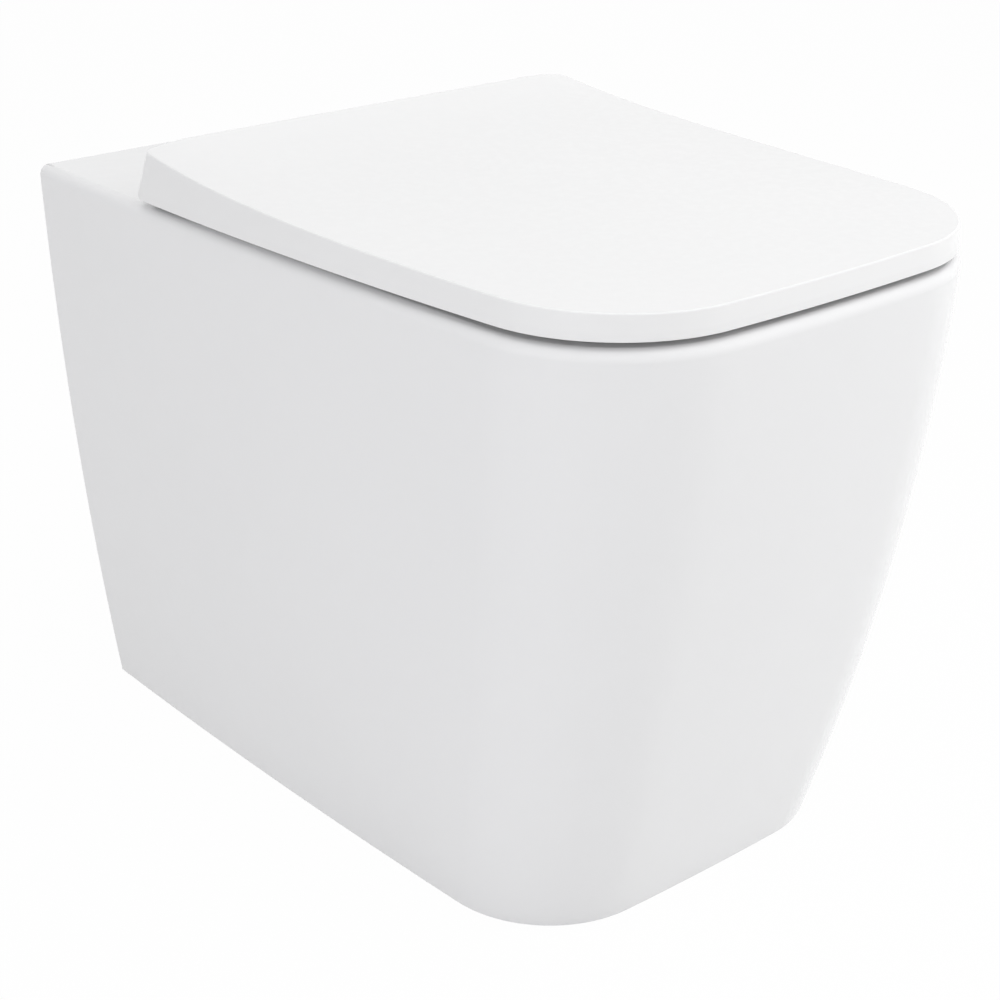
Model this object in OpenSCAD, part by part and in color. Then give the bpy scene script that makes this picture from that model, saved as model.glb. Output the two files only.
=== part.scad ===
// Back to wall toilet: china pan with a wrap-over soft-close seat.
// Millimetres. +Z is up, the wall is on the +Y side and the front of the pan is on the -Y side.
// X = 0 is the plane of symmetry, Z = 0 is the floor, Y = 0 is half way from the wall to the front.
// In the code, "reach" is a distance measured from the wall towards the front.

/* [Pan outside] */
// Height of the rim above the floor
pan_h = 400; // [385:1:430]
// Reach of the rim's front from the wall
pan_d = 564.5; // [562:0.5:600]
// Width of the rim where it meets the wall
rim_w = 346.5; // [342:0.5:370]
// Width of the foot where it meets the wall
foot_w = 282.5; // [268:0.5:300]
// Reach of the foot's front
foot_d = 484; // [470:1:500]
// Outward bow of the side walls half way up
side_bow = 5.9; // [3:0.1:8]
// Outward bow of the front wall half way up
front_bow = 10.7; // [6:0.1:16]
// Reach at which the pan is widest
widest_at = 238; // [220:1:260]
// How much wider each side of the rim is there than at the wall
rim_swell = 4; // [3:0.1:7]
// How much wider each side of the foot is there than at the wall
foot_swell = 4.9; // [2:0.1:6]
// Plan radius of the rim's front corners
rim_corner_r = 99.5; // [95:0.5:110]
// Plan radius of the foot's front corners
foot_corner_r = 77.5; // [70:0.5:90]
// Plan radius of the rim's front
front_r = 1630; // [1200:10:2000]
// Plan radius of the foot's front
foot_front_r = 2500; // [1600:50:3000]
// Rounding of the rim's outer edge
rim_edge_r = 5; // [3:0.5:7]
// Thickness of the skirt
skirt_t = 12; // [10:0.5:14]
// Thickness of the deck and rim
deck_t = 14; // [12:0.5:16]

/* [Bowl and trap] */
// Width of the bowl's mouth
bowl_w = 244; // [236:1:250]
// Reach of the bowl's front edge
bowl_front = 517; // [512:1:519]
// Reach of the bowl's rear edge
bowl_rear = 222; // [214:1:226]
// Rounding of the bowl's mouth
mouth_r = 6; // [4:0.5:8]
// Thickness of the bowl's wall
bowl_t = 11; // [9:0.5:12]
// Bore radius of the trap
trap_r = 38; // [35:0.5:38]
// Thickness of the trap's wall
trap_t = 8; // [7:0.5:8.5]
// Reach of the sump's centre
sump_at = 294; // [290:1:298]
// Height of the sump's round end
sump_z = 125; // [120:1:130]
// Bend radius of the trap's lower bend
dip_bend_r = 50; // [49:0.5:52]
// Height of the lower bend's centre
dip_z = 112; // [110:1:114]
// Bend radius of the trap's upper bend
crest_bend_r = 50; // [49:1:54]
// Height of the outlet's centre above the floor
outlet_z = 190; // [186:1:196]
// Outer radius of the outlet spigot
outlet_r = 51; // [50:0.5:52]
// Length of the outlet spigot
outlet_l = 45; // [40:1:50]
// Reach of the outlet's open end
outlet_end = 62; // [56:1:68]

/* [Flush inlet] */
// Height of the inlet's centre above the floor
inlet_z = 330; // [320:1:334]
// Radius of the inlet socket
socket_r = 27.5; // [26:0.5:28.5]
// Depth of the inlet socket
socket_l = 36; // [32:1:40]
// Thickness of the inlet horn's wall
horn_t = 10; // [8:0.5:11]
// Reach of the inlet horn's mouth
horn_end = 46; // [44:1:52]
// Radius of the water passage into the bowl
passage_r = 20; // [17:0.5:22]
// Radius of the flush pipe that the seal takes
pipe_r = 22.5; // [21:0.25:23]

/* [Seat] */
// Reach of the lid's front edge
lid_front = 561.5; // [556:0.5:563]
// Width of the lid at its widest
lid_w = 359.5; // [350:0.5:362]
// How much wider each side of the lid is there than at the wall
lid_swell = 9.8; // [9:0.1:12]
// Plan radius of the lid's front corners
lid_corner_r = 93.5; // [90:0.5:100]
// Plan radius of the lid's front edge
lid_front_r = 1670; // [1200:10:2000]
// Reach of the lid's rear edge at its bottom
lid_rear = 131.5; // [131:0.5:133]
// Forward lean of the lid's rear face
lid_rear_lean = 14; // [12:0.5:15]
// Rounding of the lid's rear bottom edge, which swings past the deck
lid_heel_r = 5; // [4.5:0.5:6]
// Plan radius of the lid's rear corners at its top
lid_rear_corner_r = 9; // [6:0.5:10]
// Gap between the deck and the lid's bottom edge
lid_gap = 4.2; // [4:0.1:4.6]
// Height of the lid's top above the deck at the front
lid_front_h = 19.1; // [18:0.1:20]
// Height of the lid's top above the deck at the rear
lid_rear_h = 41.1; // [40.5:0.1:42]
// Thickness of the lid's top panel
lid_t = 4; // [3.5:0.1:4.2]
// Thickness of the lid's skirt
lid_skirt_t = 5; // [4:0.1:5.5]
// Gap between the ring and the lid's skirt
ring_gap = 2.5; // [2:0.1:4]
// Gap between the rim and the ring, filled by the buffers
buffer_h = 4.5; // [4:0.1:5]
// Gap between the ring and the lid's top panel, filled by the lid's buffers
lid_buffer_h = 2; // [1.6:0.1:2.4]
// Width of the opening in the ring
ring_hole_w = 216; // [200:1:224]
// Reach of the opening's front
ring_hole_front = 497; // [490:1:500]
// Reach of the opening's rear
ring_hole_rear = 232; // [228:1:240]
// Reach of the ring's rear edge
ring_rear = 173; // [173:0.5:175]

/* [Seat hinges] */
// Reach of the hinge axis
hinge_at = 147.5; // [147.2:0.1:148]
// Height of the hinge axis above the deck
hinge_h = 23; // [22.8:0.1:23.4]
// Spacing of the seat's fixing holes
fixing_spacing = 155; // [150:1:160]
// Distance from the hinge axis forward to the fixing holes
post_forward = 17; // [17:0.1:17.6]
// Radius of the hinge barrels
barrel_r = 8; // [7.6:0.1:8]
// Width of each hinge body
hinge_body_w = 18; // [17.6:0.1:19]
// Length of the barrels on the ring and on the lid
lug_l = 26; // [22:0.5:28]
// Radius of the hinge pins
pin_r = 3; // [2.5:0.1:3.2]
// Outer radius of the dampers and bushes
damper_r = 5.5; // [5.2:0.1:5.8]
// Radius of the hinge posts
post_r = 5; // [4.6:0.1:5]
// Radius of the post's locking groove
groove_r = 3.5; // [3.2:0.1:3.7]
// Travel of the release latches
latch_travel = 2.5; // [2:0.1:2.5]
// Radius of the fixing studs
stud_r = 3; // [2.5:0.1:3]
// Radius of the fixing holes in the deck
fixing_hole_r = 7.25; // [7:0.05:7.5]
// Radius of the hinge plates
plate_r = 16; // [14:0.5:16]

/* [Floor fixings] */
// Reach of the rear face of the pan's fixing lugs
lug_at = 84; // [78:1:90]
// Thickness of the pan's fixing lugs
pan_lug_t = 14; // [12:0.5:16]
// Height of the bolt through each lug
lug_bolt_z = 38; // [34:1:42]
// Distance from the outside of the foot in to the middle of each bracket
bracket_inset = 34; // [32:0.5:38]
// Length of each bracket on the floor
bracket_l = 62; // [58:1:70]
// Width of each bracket
bracket_w = 36; // [32:1:38]
// Thickness of each bracket
bracket_t = 4; // [3:0.5:5]
// Spacing of the two floor holes in each bracket
bracket_hole_pitch = 26; // [22:1:28]
// Radius of the floor holes
bracket_hole_r = 4.25; // [3.5:0.25:5]
// Radius of the clamp bolts
clamp_r = 4; // [3:0.5:4]

/* [Hidden] */
$fn = 64;
china = [0.96, 0.96, 0.95];
thermoset = [0.97, 0.97, 0.97];
steel = [0.72, 0.73, 0.74];
polymer = [0.86, 0.87, 0.88];
black_rubber = [0.16, 0.16, 0.17];
clear_rubber = [0.82, 0.84, 0.83];
left = -1;
right = 1;
over = 1;
rim_reach = foot_d + (pan_d - foot_d) * (1 - rim_edge_r / pan_h);
edge_bow = 4 * front_bow * (1 - rim_edge_r / pan_h) * rim_edge_r / pan_h;
wall_y = round(2 * (rim_reach + edge_bow)) / 4;
top_sharp = 0.01;
corner_steps = 9;
front_steps = 4;
seat_side_steps = 14;
ring_rear_steps = 16;
oval_steps = 44;
fillet_steps = 3;
skirt_levels = 12;
bowl_levels = 12;
running = 0.05;
fit = 0.03;
seat_off = 0.3;
// Curve of the lid's top: a short rise at the rear on top of a long, even fall.
lid_fall = 4.5;
lid_rise_share = 0.19;
// Hinge frame
hinge_y = wall_y - hinge_at;
hinge_z = pan_h + hinge_h;
post_y = hinge_y - post_forward;
fix_x = fixing_spacing / 2;
gasket_h = 1.2;
plate_h = 2;
plate_top = pan_h + gasket_h + plate_h;
post_flange_h = 3;
post_flange_r = 7;
body_bottom = plate_top + seat_off;
body_front = hinge_y - post_forward - 8;
body_rear = hinge_y - post_forward + 10;
body_top = hinge_z + 6.5;
latch_z = pan_h + 12.2;
latch_t = 3;
latch_slack = 0.2;
lug_gap = 0.5;
ring_lug_in = fix_x - hinge_body_w / 2 - lug_gap - lug_l;
ring_lug_out = ring_lug_in + lug_l;
lid_lug_in = fix_x + hinge_body_w / 2 + lug_gap;
lid_lug_out = lid_lug_in + lug_l;
ring_bottom = pan_h + buffer_h;
lid_bottom = pan_h + lid_gap;
bracket_x = foot_w / 2 - bracket_inset;

// ---------- plan outlines ----------

function arc(c, r, a0, a1, n) = [for (i = [0:n]) let (a = a0 + (a1 - a0) * i / n) c + r * [cos(a), sin(a)]];

// Right half of a plan outline, from its rear corner to the middle of its front, as [x, -reach].
// half: widest half width; front: reach of the front; rear: reach of the rear edge; swell: side bow.
function right_half(half, front, rear, swell, corner, front_arc, rear_r, off, side_steps = 7) =
  let (
    side_r = pow(widest_at, 2) / (2 * swell) + swell / 2 + off,
    corner_r = corner + off,
    front_rr = front_arc + off,
    a = [half + off - side_r, -widest_at],
    b = [0, front_rr - front - off],
    span = norm(b - a),
    ra = side_r - corner_r,
    rb = front_rr - corner_r,
    along = (ra * ra - rb * rb + span * span) / (2 * span),
    across = sqrt(ra * ra - along * along),
    e = (b - a) / span,
    c = a + e * along + [e[1], -e[0]] * across,
    a1 = atan2(c[1] - a[1], c[0] - a[0]),
    a2 = atan2(c[1] - b[1], c[0] - b[0]),
    start = rear + rear_r,
    a0 = asin((widest_at - start) / side_r),
    side_x = a[0] + side_r * cos(a0),
    rear_arc = rear_r > top_sharp ? arc([side_x - rear_r, -start], rear_r, 90, 0, 3) : [[side_x, -start]],
    side = arc(a, side_r, a0, a1, side_steps),
    bend = arc(c, corner_r, a1, a2, corner_steps),
    nose = arc(b, front_rr, a2, -90, front_steps)
  )
  concat(rear_arc, tail(side), tail(bend), tail(nose));

function tail(list) = [for (i = [1:len(list) - 1]) list[i]];

// Whole outline, anticlockwise from above, as [x, y], with rear_steps along its rear edge.
function closed(half_list, rear_steps = 1) =
  let (n = len(half_list), corner_x = half_list[0][0], rear_y = wall_y + half_list[0][1])
  concat(
    [for (i = [n - 1:-1:0]) [half_list[i][0], wall_y + half_list[i][1]]],
    rear_steps > 1 ? [for (k = [1:rear_steps - 1]) [corner_x * (1 - 2 * k / rear_steps), rear_y]] : [],
    [for (i = [0:n - 2]) [-half_list[i][0], wall_y + half_list[i][1]]]
  );

function at_height(loop, z) = [for (p = loop) [p[0], p[1], z]];

// ---------- lofted solids ----------

// Faces between loops of n points; wrap joins the last loop to the first one.
function skin(n, loops, wrap) = [
  for (k = [0:loops - (wrap ? 1 : 2)])
    let (lo = k * n, hi = ((k + 1) % loops) * n)
    for (i = [0:n - 1])
      let (j = (i + 1) % n)
      each [[lo + i, hi + i, hi + j], [lo + i, hi + j, lo + j]]
];

// A solid whose first and last loops are flat.
module loft(loops) {
  n = len(loops[0]);
  m = len(loops);
  caps = [[for (i = [0:n - 1]) i], [for (i = [n - 1:-1:0]) (m - 1) * n + i]];
  polyhedron(points = [for (loop = loops) each loop], faces = concat(skin(n, m, false), caps));
}

// A ring whose last loop meets its first.
module loft_ring(loops) {
  polyhedron(points = [for (loop = loops) each loop], faces = skin(len(loops[0]), len(loops), true));
}

// Flat strips across a closed outline, each between two points and their mirror images.
function strips(n, first, up) =
  let (half = (n + 1) / 2)
  [
    for (i = [0:half - 2])
      let (
        a = first + i,
        b = first + i + 1,
        c = first + n - 1 - i,
        d = first + (n - i) % n,
        face = i == 0 ? [a, b, c] : [a, b, c, d]
      )
      up ? [for (k = [len(face) - 1:-1:0]) face[k]] : face
  ];

// A solid whose first and last loops lie on a surface that is level from side to side.
module loft_strips(loops) {
  n = len(loops[0]);
  m = len(loops);
  faces = concat(skin(n, m, false), strips(n, 0, false), strips(n, (m - 1) * n, true));
  polyhedron(points = [for (loop = loops) each loop], faces = faces);
}

module along_x(x, y, z, r, l) {
  translate([x, y, z]) rotate([0, 90, 0]) cylinder(r = r, h = l);
}

// Cylinder along Y between two reaches.
module along_y(x, z, r, from_wall, to_front) {
  translate([x, wall_y - to_front, z]) rotate([-90, 0, 0]) cylinder(r = r, h = to_front - from_wall);
}

module box_between(x0, x1, y0, y1, z0, z1) {
  translate([min(x0, x1), y0, z0]) cube([abs(x1 - x0), y1 - y0, z1 - z0]);
}

// ---------- pan ----------

function bowed(low, high, bow, t) = low + (high - low) * t + 4 * bow * t * (1 - t);

// Outline of the pan at share t of its height, grown by off and starting at reach rear.
function pan_outline(t, off, rear) =
  let (
    swell = foot_swell + (rim_swell - foot_swell) * t,
    half = bowed(foot_w / 2, rim_w / 2, side_bow, t) + swell,
    front = bowed(foot_d, pan_d, front_bow, t),
    corner = foot_corner_r + (rim_corner_r - foot_corner_r) * t,
    nose = foot_front_r + (front_r - foot_front_r) * t
  )
  closed(right_half(half, front, rear, swell, corner, nose, 0, off));

// Half width of the pan's outside at height z and reach v.
function pan_half(z, v) =
  let (
    t = z / pan_h,
    swell = foot_swell + (rim_swell - foot_swell) * t,
    side_r = pow(widest_at, 2) / (2 * swell) + swell / 2
  )
  bowed(foot_w / 2, rim_w / 2, side_bow, t) + swell - side_r + sqrt(pow(side_r, 2) - pow(v - widest_at, 2));

module pan_outside() {
  straight = pan_h - rim_edge_r;
  walls = [for (k = [0:skirt_levels]) let (z = straight * k / skirt_levels) at_height(pan_outline(z / pan_h, 0, 0), z)];
  edge = [
    for (k = [1:fillet_steps])
      let (a = 90 * k / fillet_steps, z = straight + rim_edge_r * sin(a))
      at_height(pan_outline(z / pan_h, rim_edge_r * (cos(a) - 1), 0), z)
  ];
  loft(concat(walls, edge));
}

module pan_hollow() {
  top = pan_h - deck_t;
  loft([
    for (k = [0:skirt_levels])
      let (z = -over + (top + over) * k / skirt_levels)
      at_height(pan_outline(max(z, 0) / pan_h, -skirt_t, -over), z)
  ]);
}

// Closed oval between two reaches; p is how square it is.
function oval(half, front, rear, p, z, off) =
  let (mid = (front + rear) / 2, b = (front - rear) / 2 + off, a = half + off)
  [
    for (i = [0:oval_steps - 1])
      let (
        th = 360 * i / oval_steps,
        k = pow(pow(abs(cos(th)) / a, p) + pow(abs(sin(th)) / b, p), -1 / p)
      )
      [k * cos(th), wall_y - mid + k * sin(th), z]
  ];

// Share of the way from sump to mouth; a small power opens out sooner.
function ease(q, power) = (1 - cos(180 * pow(q, power))) / 2;

side_power = 0.75;
front_power = 0.6;
mouth_square = 3.2;
sump_r = trap_r + 1;

function bowl_loop(q, off) =
  let (
    z = sump_z + (pan_h - sump_z) * q,
    half = sump_r + (bowl_w / 2 - sump_r) * ease(q, side_power),
    front = sump_at + sump_r + (bowl_front - sump_at - sump_r) * ease(q, front_power),
    rear = sump_at - sump_r + (bowl_rear - sump_at + sump_r) * ease(q, side_power),
    square = 2 + (mouth_square - 2) * ease(q, side_power)
  )
  oval(half, front, rear, square, z, off);

function raised(loop, z) = [for (p = loop) [p[0], p[1], z]];

module bowl_inside() {
  edge_q = (pan_h - mouth_r - sump_z) / (pan_h - sump_z);
  walls = [for (k = [0:bowl_levels]) bowl_loop(edge_q * k / bowl_levels, 0)];
  edge = [
    for (k = [1:fillet_steps])
      let (a = 90 * k / fillet_steps, z = pan_h - mouth_r + mouth_r * sin(a))
      raised(bowl_loop((z - sump_z) / (pan_h - sump_z), mouth_r * (1 - cos(a))), z)
  ];
  loft(concat(walls, edge, [raised(bowl_loop(1, mouth_r), pan_h + over)]));
}

module bowl_outside() {
  top_q = (pan_h - deck_t / 2 - sump_z) / (pan_h - sump_z);
  loft([for (k = [0:bowl_levels]) bowl_loop(top_q * k / bowl_levels, bowl_t)]);
}

// Trap run with a tube of radius r, from the sump's end to the outlet.
module trap_run(r, extra) {
  up_y = wall_y - sump_at + 2 * dip_bend_r;
  crest_z = outlet_z - crest_bend_r;
  translate([0, wall_y - sump_at, dip_z]) cylinder(r = r, h = sump_z - dip_z + extra);
  translate([0, wall_y - sump_at + dip_bend_r, dip_z])
    rotate([90, 0, 90])
      rotate([0, 0, 180])
        rotate_extrude(angle = 180) translate([dip_bend_r, 0]) circle(r = r);
  translate([0, up_y, dip_z]) cylinder(r = r, h = crest_z - dip_z);
  translate([0, up_y + crest_bend_r, crest_z])
    rotate([90, 0, 90])
      rotate([0, 0, 90])
        rotate_extrude(angle = 90) translate([crest_bend_r, 0]) circle(r = r);
  along_y(0, outlet_z, r, outlet_end - extra, sump_at - 2 * dip_bend_r - crest_bend_r);
}

module inlet_horn() {
  horn_r = socket_r + horn_t;
  along_y(0, inlet_z, horn_r, horn_end, horn_end + socket_l + horn_t);
  along_y(0, inlet_z, passage_r + horn_t, horn_end + socket_l, bowl_rear + bowl_t);
  box_between(-horn_t, horn_t, wall_y - bowl_rear, wall_y - horn_end - horn_t, inlet_z, pan_h - deck_t / 2);
}

module inlet_bore() {
  along_y(0, inlet_z, socket_r, horn_end - over, horn_end + socket_l);
  along_y(0, inlet_z, passage_r, horn_end + socket_l - over, bowl_rear + 2 * bowl_t);
}

pan_lug_z0 = 12;
pan_lug_in = bracket_x - 12;
pan_lug_top = lug_bolt_z + 20;

module pan_lug(s) {
  outer = pan_half(pan_lug_z0, lug_at) - skirt_t / 4;
  box_between(s * pan_lug_in, s * outer, wall_y - lug_at - pan_lug_t, wall_y - lug_at, pan_lug_z0, pan_lug_top);
}

module pan() {
  color(china) difference() {
    union() {
      difference() {
        pan_outside();
        pan_hollow();
      }
      bowl_outside();
      trap_run(trap_r + trap_t, 0);
      along_y(0, outlet_z, outlet_r, outlet_end, outlet_end + outlet_l);
      inlet_horn();
      for (s = [left, right]) pan_lug(s);
    }
    bowl_inside();
    trap_run(trap_r, over);
    inlet_bore();
    for (s = [left, right]) {
      translate([s * fix_x, post_y, pan_h - deck_t - over]) cylinder(r = fixing_hole_r, h = deck_t + 2 * over);
      along_y(s * bracket_x, lug_bolt_z, clamp_r + 1, lug_at - over, lug_at + pan_lug_t + over);
    }
  }
}

// Rubber cone that seals the flush pipe in the inlet socket.
module inlet_seal() {
  flange_t = 4;
  body_l = socket_l - 4;
  color(black_rubber) difference() {
    union() {
      along_y(0, inlet_z, socket_r + 5, horn_end - flange_t, horn_end);
      along_y(0, inlet_z, socket_r - 0.4, horn_end, horn_end + body_l);
      for (k = [1:3]) along_y(0, inlet_z, socket_r - 0.1, horn_end + k * 8, horn_end + k * 8 + 2);
    }
    along_y(0, inlet_z, pipe_r, horn_end - flange_t - over, horn_end + body_l - 5);
    along_y(0, inlet_z, pipe_r - 3, horn_end, horn_end + body_l + over);
  }
}

// ---------- seat ----------

// Height of the lid's top at reach v.
function lid_top(v) =
  let (
    f = (v - lid_rear - lid_rear_lean) / (lid_front - lid_rear - lid_rear_lean),
    rise = lid_rear_h - lid_front_h - lid_fall
  )
  pan_h + lid_front_h + rise * exp(-f / lid_rise_share) + lid_fall * (1 - f);

// Outline of the seat at an offset from the lid's outer edge.
function seat_outline(off, rear, rear_r, rear_steps = 1) =
  closed(
    right_half(lid_w / 2, lid_front, rear, lid_swell, lid_corner_r, lid_front_r, rear_r, off, seat_side_steps),
    rear_steps
  );

// The same outline lifted to the lid's top less a depth.
function under_top(loop, depth) = [for (p = loop) [p[0], p[1], lid_top(wall_y - p[1]) - depth]];

// Reach of the lid's rear face, leaning and rounded at its heel, at height h above the lid's bottom.
function heel(h) =
  let (lean = lid_rear_lean * h / (lid_rear_h - lid_gap))
  lid_rear + lean + lid_heel_r - sqrt(pow(lid_heel_r, 2) - pow(lid_heel_r - h, 2));

module lid_shell() {
  edge_r = 1.2;
  inset = 1;
  low_edge_r = 0.4;
  foot_corner = 5;
  top_corner = lid_rear_corner_r;
  lean_top = lid_rear + lid_rear_lean;
  inner_rear = lid_rear + lid_heel_r + 2;
  heel_mid = lid_heel_r * (1 - cos(45));
  loft_strips([
    under_top(seat_outline(-lid_skirt_t - inset - 1, lean_top + lid_skirt_t, 2), lid_t),
    under_top(seat_outline(-lid_skirt_t - inset, lean_top + lid_skirt_t - 0.5, 2), lid_t + 1.5),
    at_height(seat_outline(-lid_skirt_t, inner_rear, 2), lid_bottom + 0.6),
    at_height(seat_outline(-lid_skirt_t + 0.6, inner_rear - 0.6, 2.5), lid_bottom),
    at_height(seat_outline(-low_edge_r, heel(0), foot_corner), lid_bottom),
    at_height(seat_outline(0, heel(low_edge_r), foot_corner), lid_bottom + low_edge_r),
    at_height(seat_outline(0, heel(heel_mid), foot_corner), lid_bottom + heel_mid),
    at_height(seat_outline(-0.1, heel(lid_heel_r), foot_corner), lid_bottom + lid_heel_r),
    under_top(seat_outline(-inset * 0.8, lean_top - 0.4, top_corner), edge_r),
    under_top(seat_outline(-inset - 0.3 * edge_r, lean_top + 0.3 * edge_r, top_corner), 0.3 * edge_r),
    under_top(seat_outline(-inset - edge_r, lean_top + edge_r, top_corner - edge_r), 0)
  ]);
}

lid_buffer_r = 6;
lid_buffer_sink = 1.2;
lid_buffer_spots = [[128, 330], [108, 490]];

module at_lid_buffers() {
  for (s = [left, right])
    for (p = lid_buffer_spots)
      translate([s * p[0], wall_y - p[1], lid_top(p[1]) - lid_t]) children();
}

module lid() {
  zone_in = ring_lug_in - lug_gap;
  zone_out = lid_lug_out + lug_gap;
  web_z = lid_top(hinge_at + barrel_r) - lid_t + 1;
  color(thermoset) difference() {
    union() {
      difference() {
        lid_shell();
        for (s = [left, right]) {
          box_between(
            s * zone_in, s * zone_out, hinge_y - over, wall_y - lid_rear + over,
            lid_bottom - over, hinge_z - barrel_r
          );
          box_between(
            s * zone_in, s * lid_lug_in, hinge_y - barrel_r - 1, wall_y - lid_rear + over,
            lid_bottom - over, lid_top(hinge_at + barrel_r + 1) - lid_t
          );
        }
      }
      for (s = [left, right]) {
        along_x(min(s * lid_lug_in, s * lid_lug_out), hinge_y, hinge_z, barrel_r, lug_l);
        box_between(s * lid_lug_in, s * lid_lug_out, hinge_y - barrel_r, hinge_y + barrel_r / 2, hinge_z, web_z);
      }
    }
    for (s = [left, right])
      along_x(min(s * (lid_lug_in - over), s * (lid_lug_out + lug_gap)), hinge_y, hinge_z, damper_r + fit,
        lug_l + over + lug_gap);
    at_lid_buffers() translate([0, 0, -over]) cylinder(r = lid_buffer_r + 0.2, h = lid_buffer_sink + over);
  }
}

module lid_buffers() {
  h = lid_buffer_h + lid_buffer_sink;
  color(clear_rubber) at_lid_buffers() translate([0, 0, -lid_buffer_h + 0.25]) cylinder(r = lid_buffer_r, h = h - 0.5);
}

// Loops of the ring, as a list from its outer bottom edge over the top to its inner bottom edge.
ring_square = 2.8;
function hole_point(p, off) =
  let (
    mid = wall_y - (ring_hole_front + ring_hole_rear) / 2,
    a = ring_hole_w / 2 + off,
    b = (ring_hole_front - ring_hole_rear) / 2 + off,
    th = atan2(p[1] - mid, p[0]),
    k = pow(pow(abs(cos(th)) / a, ring_square) + pow(abs(sin(th)) / b, ring_square), -1 / ring_square)
  )
  [k * cos(th), mid + k * sin(th)];

function ring_loop(off, rear) = seat_outline(-lid_skirt_t - ring_gap - off, rear, 6, ring_rear_steps);

module ring_blank() {
  drop = lid_t + lid_buffer_h;
  near = ring_loop(4, ring_rear + 3);
  wide = [for (p = near) hole_point(p, 5)];
  inner = [for (p = near) hole_point(p, 0)];
  loft_ring([
    at_height(ring_loop(2, ring_rear + 1.5), ring_bottom),
    at_height(ring_loop(0, ring_rear), ring_bottom + 2),
    under_top(ring_loop(1.2, ring_rear + 0.5), drop + 3),
    under_top(near, drop),
    under_top([for (i = [0:len(near) - 1]) near[i] * 0.5 + wide[i] * 0.5], drop + 0.8),
    under_top(wide, drop + 1.4),
    under_top(inner, drop + 4),
    at_height(inner, ring_bottom + 1),
    at_height([for (p = near) hole_point(p, 1)], ring_bottom)
  ]);
}

buffer_spots = [[144, 300], [141, 455]];
buffer_r = 6;
buffer_run = 24;
buffer_plug = 2;

module buffer_shape(grow, h) {
  translate([0, buffer_run / 2, 0]) cylinder(r = buffer_r + grow, h = h);
  translate([0, -buffer_run / 2, 0]) cylinder(r = buffer_r + grow, h = h);
  translate([-buffer_r - grow, -buffer_run / 2, 0]) cube([2 * (buffer_r + grow), buffer_run, h]);
}

module at_buffers(z) {
  for (s = [left, right])
    for (p = buffer_spots)
      translate([s * p[0], wall_y - p[1], z]) children();
}

module seat_ring() {
  notch_front = hinge_y - 34;
  arm_top = lid_top(ring_rear) - lid_t - lid_buffer_h - 1;
  color(thermoset) difference() {
    union() {
      ring_blank();
      for (s = [left, right]) {
        along_x(min(s * ring_lug_in, s * ring_lug_out), hinge_y, hinge_z, barrel_r, lug_l);
        box_between(
          s * ring_lug_in, s * ring_lug_out, wall_y - ring_rear - 8, hinge_y,
          hinge_z - barrel_r, min(arm_top, hinge_z + barrel_r)
        );
      }
    }
    for (s = [left, right]) {
      along_x(min(s * (ring_lug_in - over), s * (ring_lug_out + over)), hinge_y, hinge_z, damper_r + fit,
        lug_l + 2 * over);
      box_between(
        s * ring_lug_out, s * lid_lug_in, notch_front, wall_y - ring_rear + over,
        ring_bottom - over, pan_h + lid_rear_h
      );
    }
    at_buffers(ring_bottom - over) buffer_shape(0.2, buffer_plug + over);
  }
}

module seat_buffers() {
  color(clear_rubber) at_buffers(pan_h) buffer_shape(0, buffer_h + buffer_plug - 0.2);
}

// ---------- hinges ----------

module sleeve_x(x0, x1, rim) {
  lo = min(x0, x1);
  l = abs(x1 - x0);
  difference() {
    union() {
      along_x(lo, hinge_y, hinge_z, damper_r, l);
      if (rim) along_x(lo + l / 3, hinge_y, hinge_z, damper_r + fit / 2, l / 3);
    }
    along_x(lo - over, hinge_y, hinge_z, pin_r + running, l + 2 * over);
  }
}

sleeve_end = 0.5;

module ring_damper() {
  color(steel) sleeve_x(left * (ring_lug_in + sleeve_end), left * (ring_lug_out - sleeve_end), true);
}

module ring_bush() {
  color(polymer) sleeve_x(right * (ring_lug_in + sleeve_end), right * (ring_lug_out - sleeve_end), false);
}

module lid_damper() {
  color(steel) sleeve_x(right * (lid_lug_in + sleeve_end), right * (lid_lug_out - sleeve_end), true);
}

module lid_bush() {
  color(polymer) sleeve_x(left * (lid_lug_in + sleeve_end), left * (lid_lug_out - sleeve_end), false);
}

module hinge_pin(s) {
  from = ring_lug_in + sleeve_end;
  to = lid_lug_out - sleeve_end;
  color(steel) along_x(min(s * from, s * to), hinge_y, hinge_z, pin_r, to - from);
}

module latch_slot(s) {
  half = 7.2;
  box_between(
    s * fix_x - half, s * fix_x + half, body_front - over, post_y + 5.5 + latch_travel + 0.3,
    latch_z - latch_slack, latch_z + latch_t + latch_slack
  );
}

module hinge_body(s) {
  x0 = s * fix_x - hinge_body_w / 2;
  x1 = s * fix_x + hinge_body_w / 2;
  color(polymer) difference() {
    union() {
      along_x(x0, hinge_y, hinge_z, barrel_r, hinge_body_w);
      box_between(x0, x1, body_front, body_rear, body_bottom, body_top);
      box_between(x0, x1, body_front, hinge_y, hinge_z - barrel_r, body_top);
    }
    along_x(x0 - over, hinge_y, hinge_z, pin_r + fit, hinge_body_w + 2 * over);
    translate([s * fix_x, post_y, body_bottom - over]) cylinder(r = post_r + running, h = hinge_h);
    translate([s * fix_x, post_y, body_bottom - over])
      cylinder(r = post_flange_r + 0.3, h = over + post_flange_h);
    latch_slot(s);
  }
}

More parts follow.
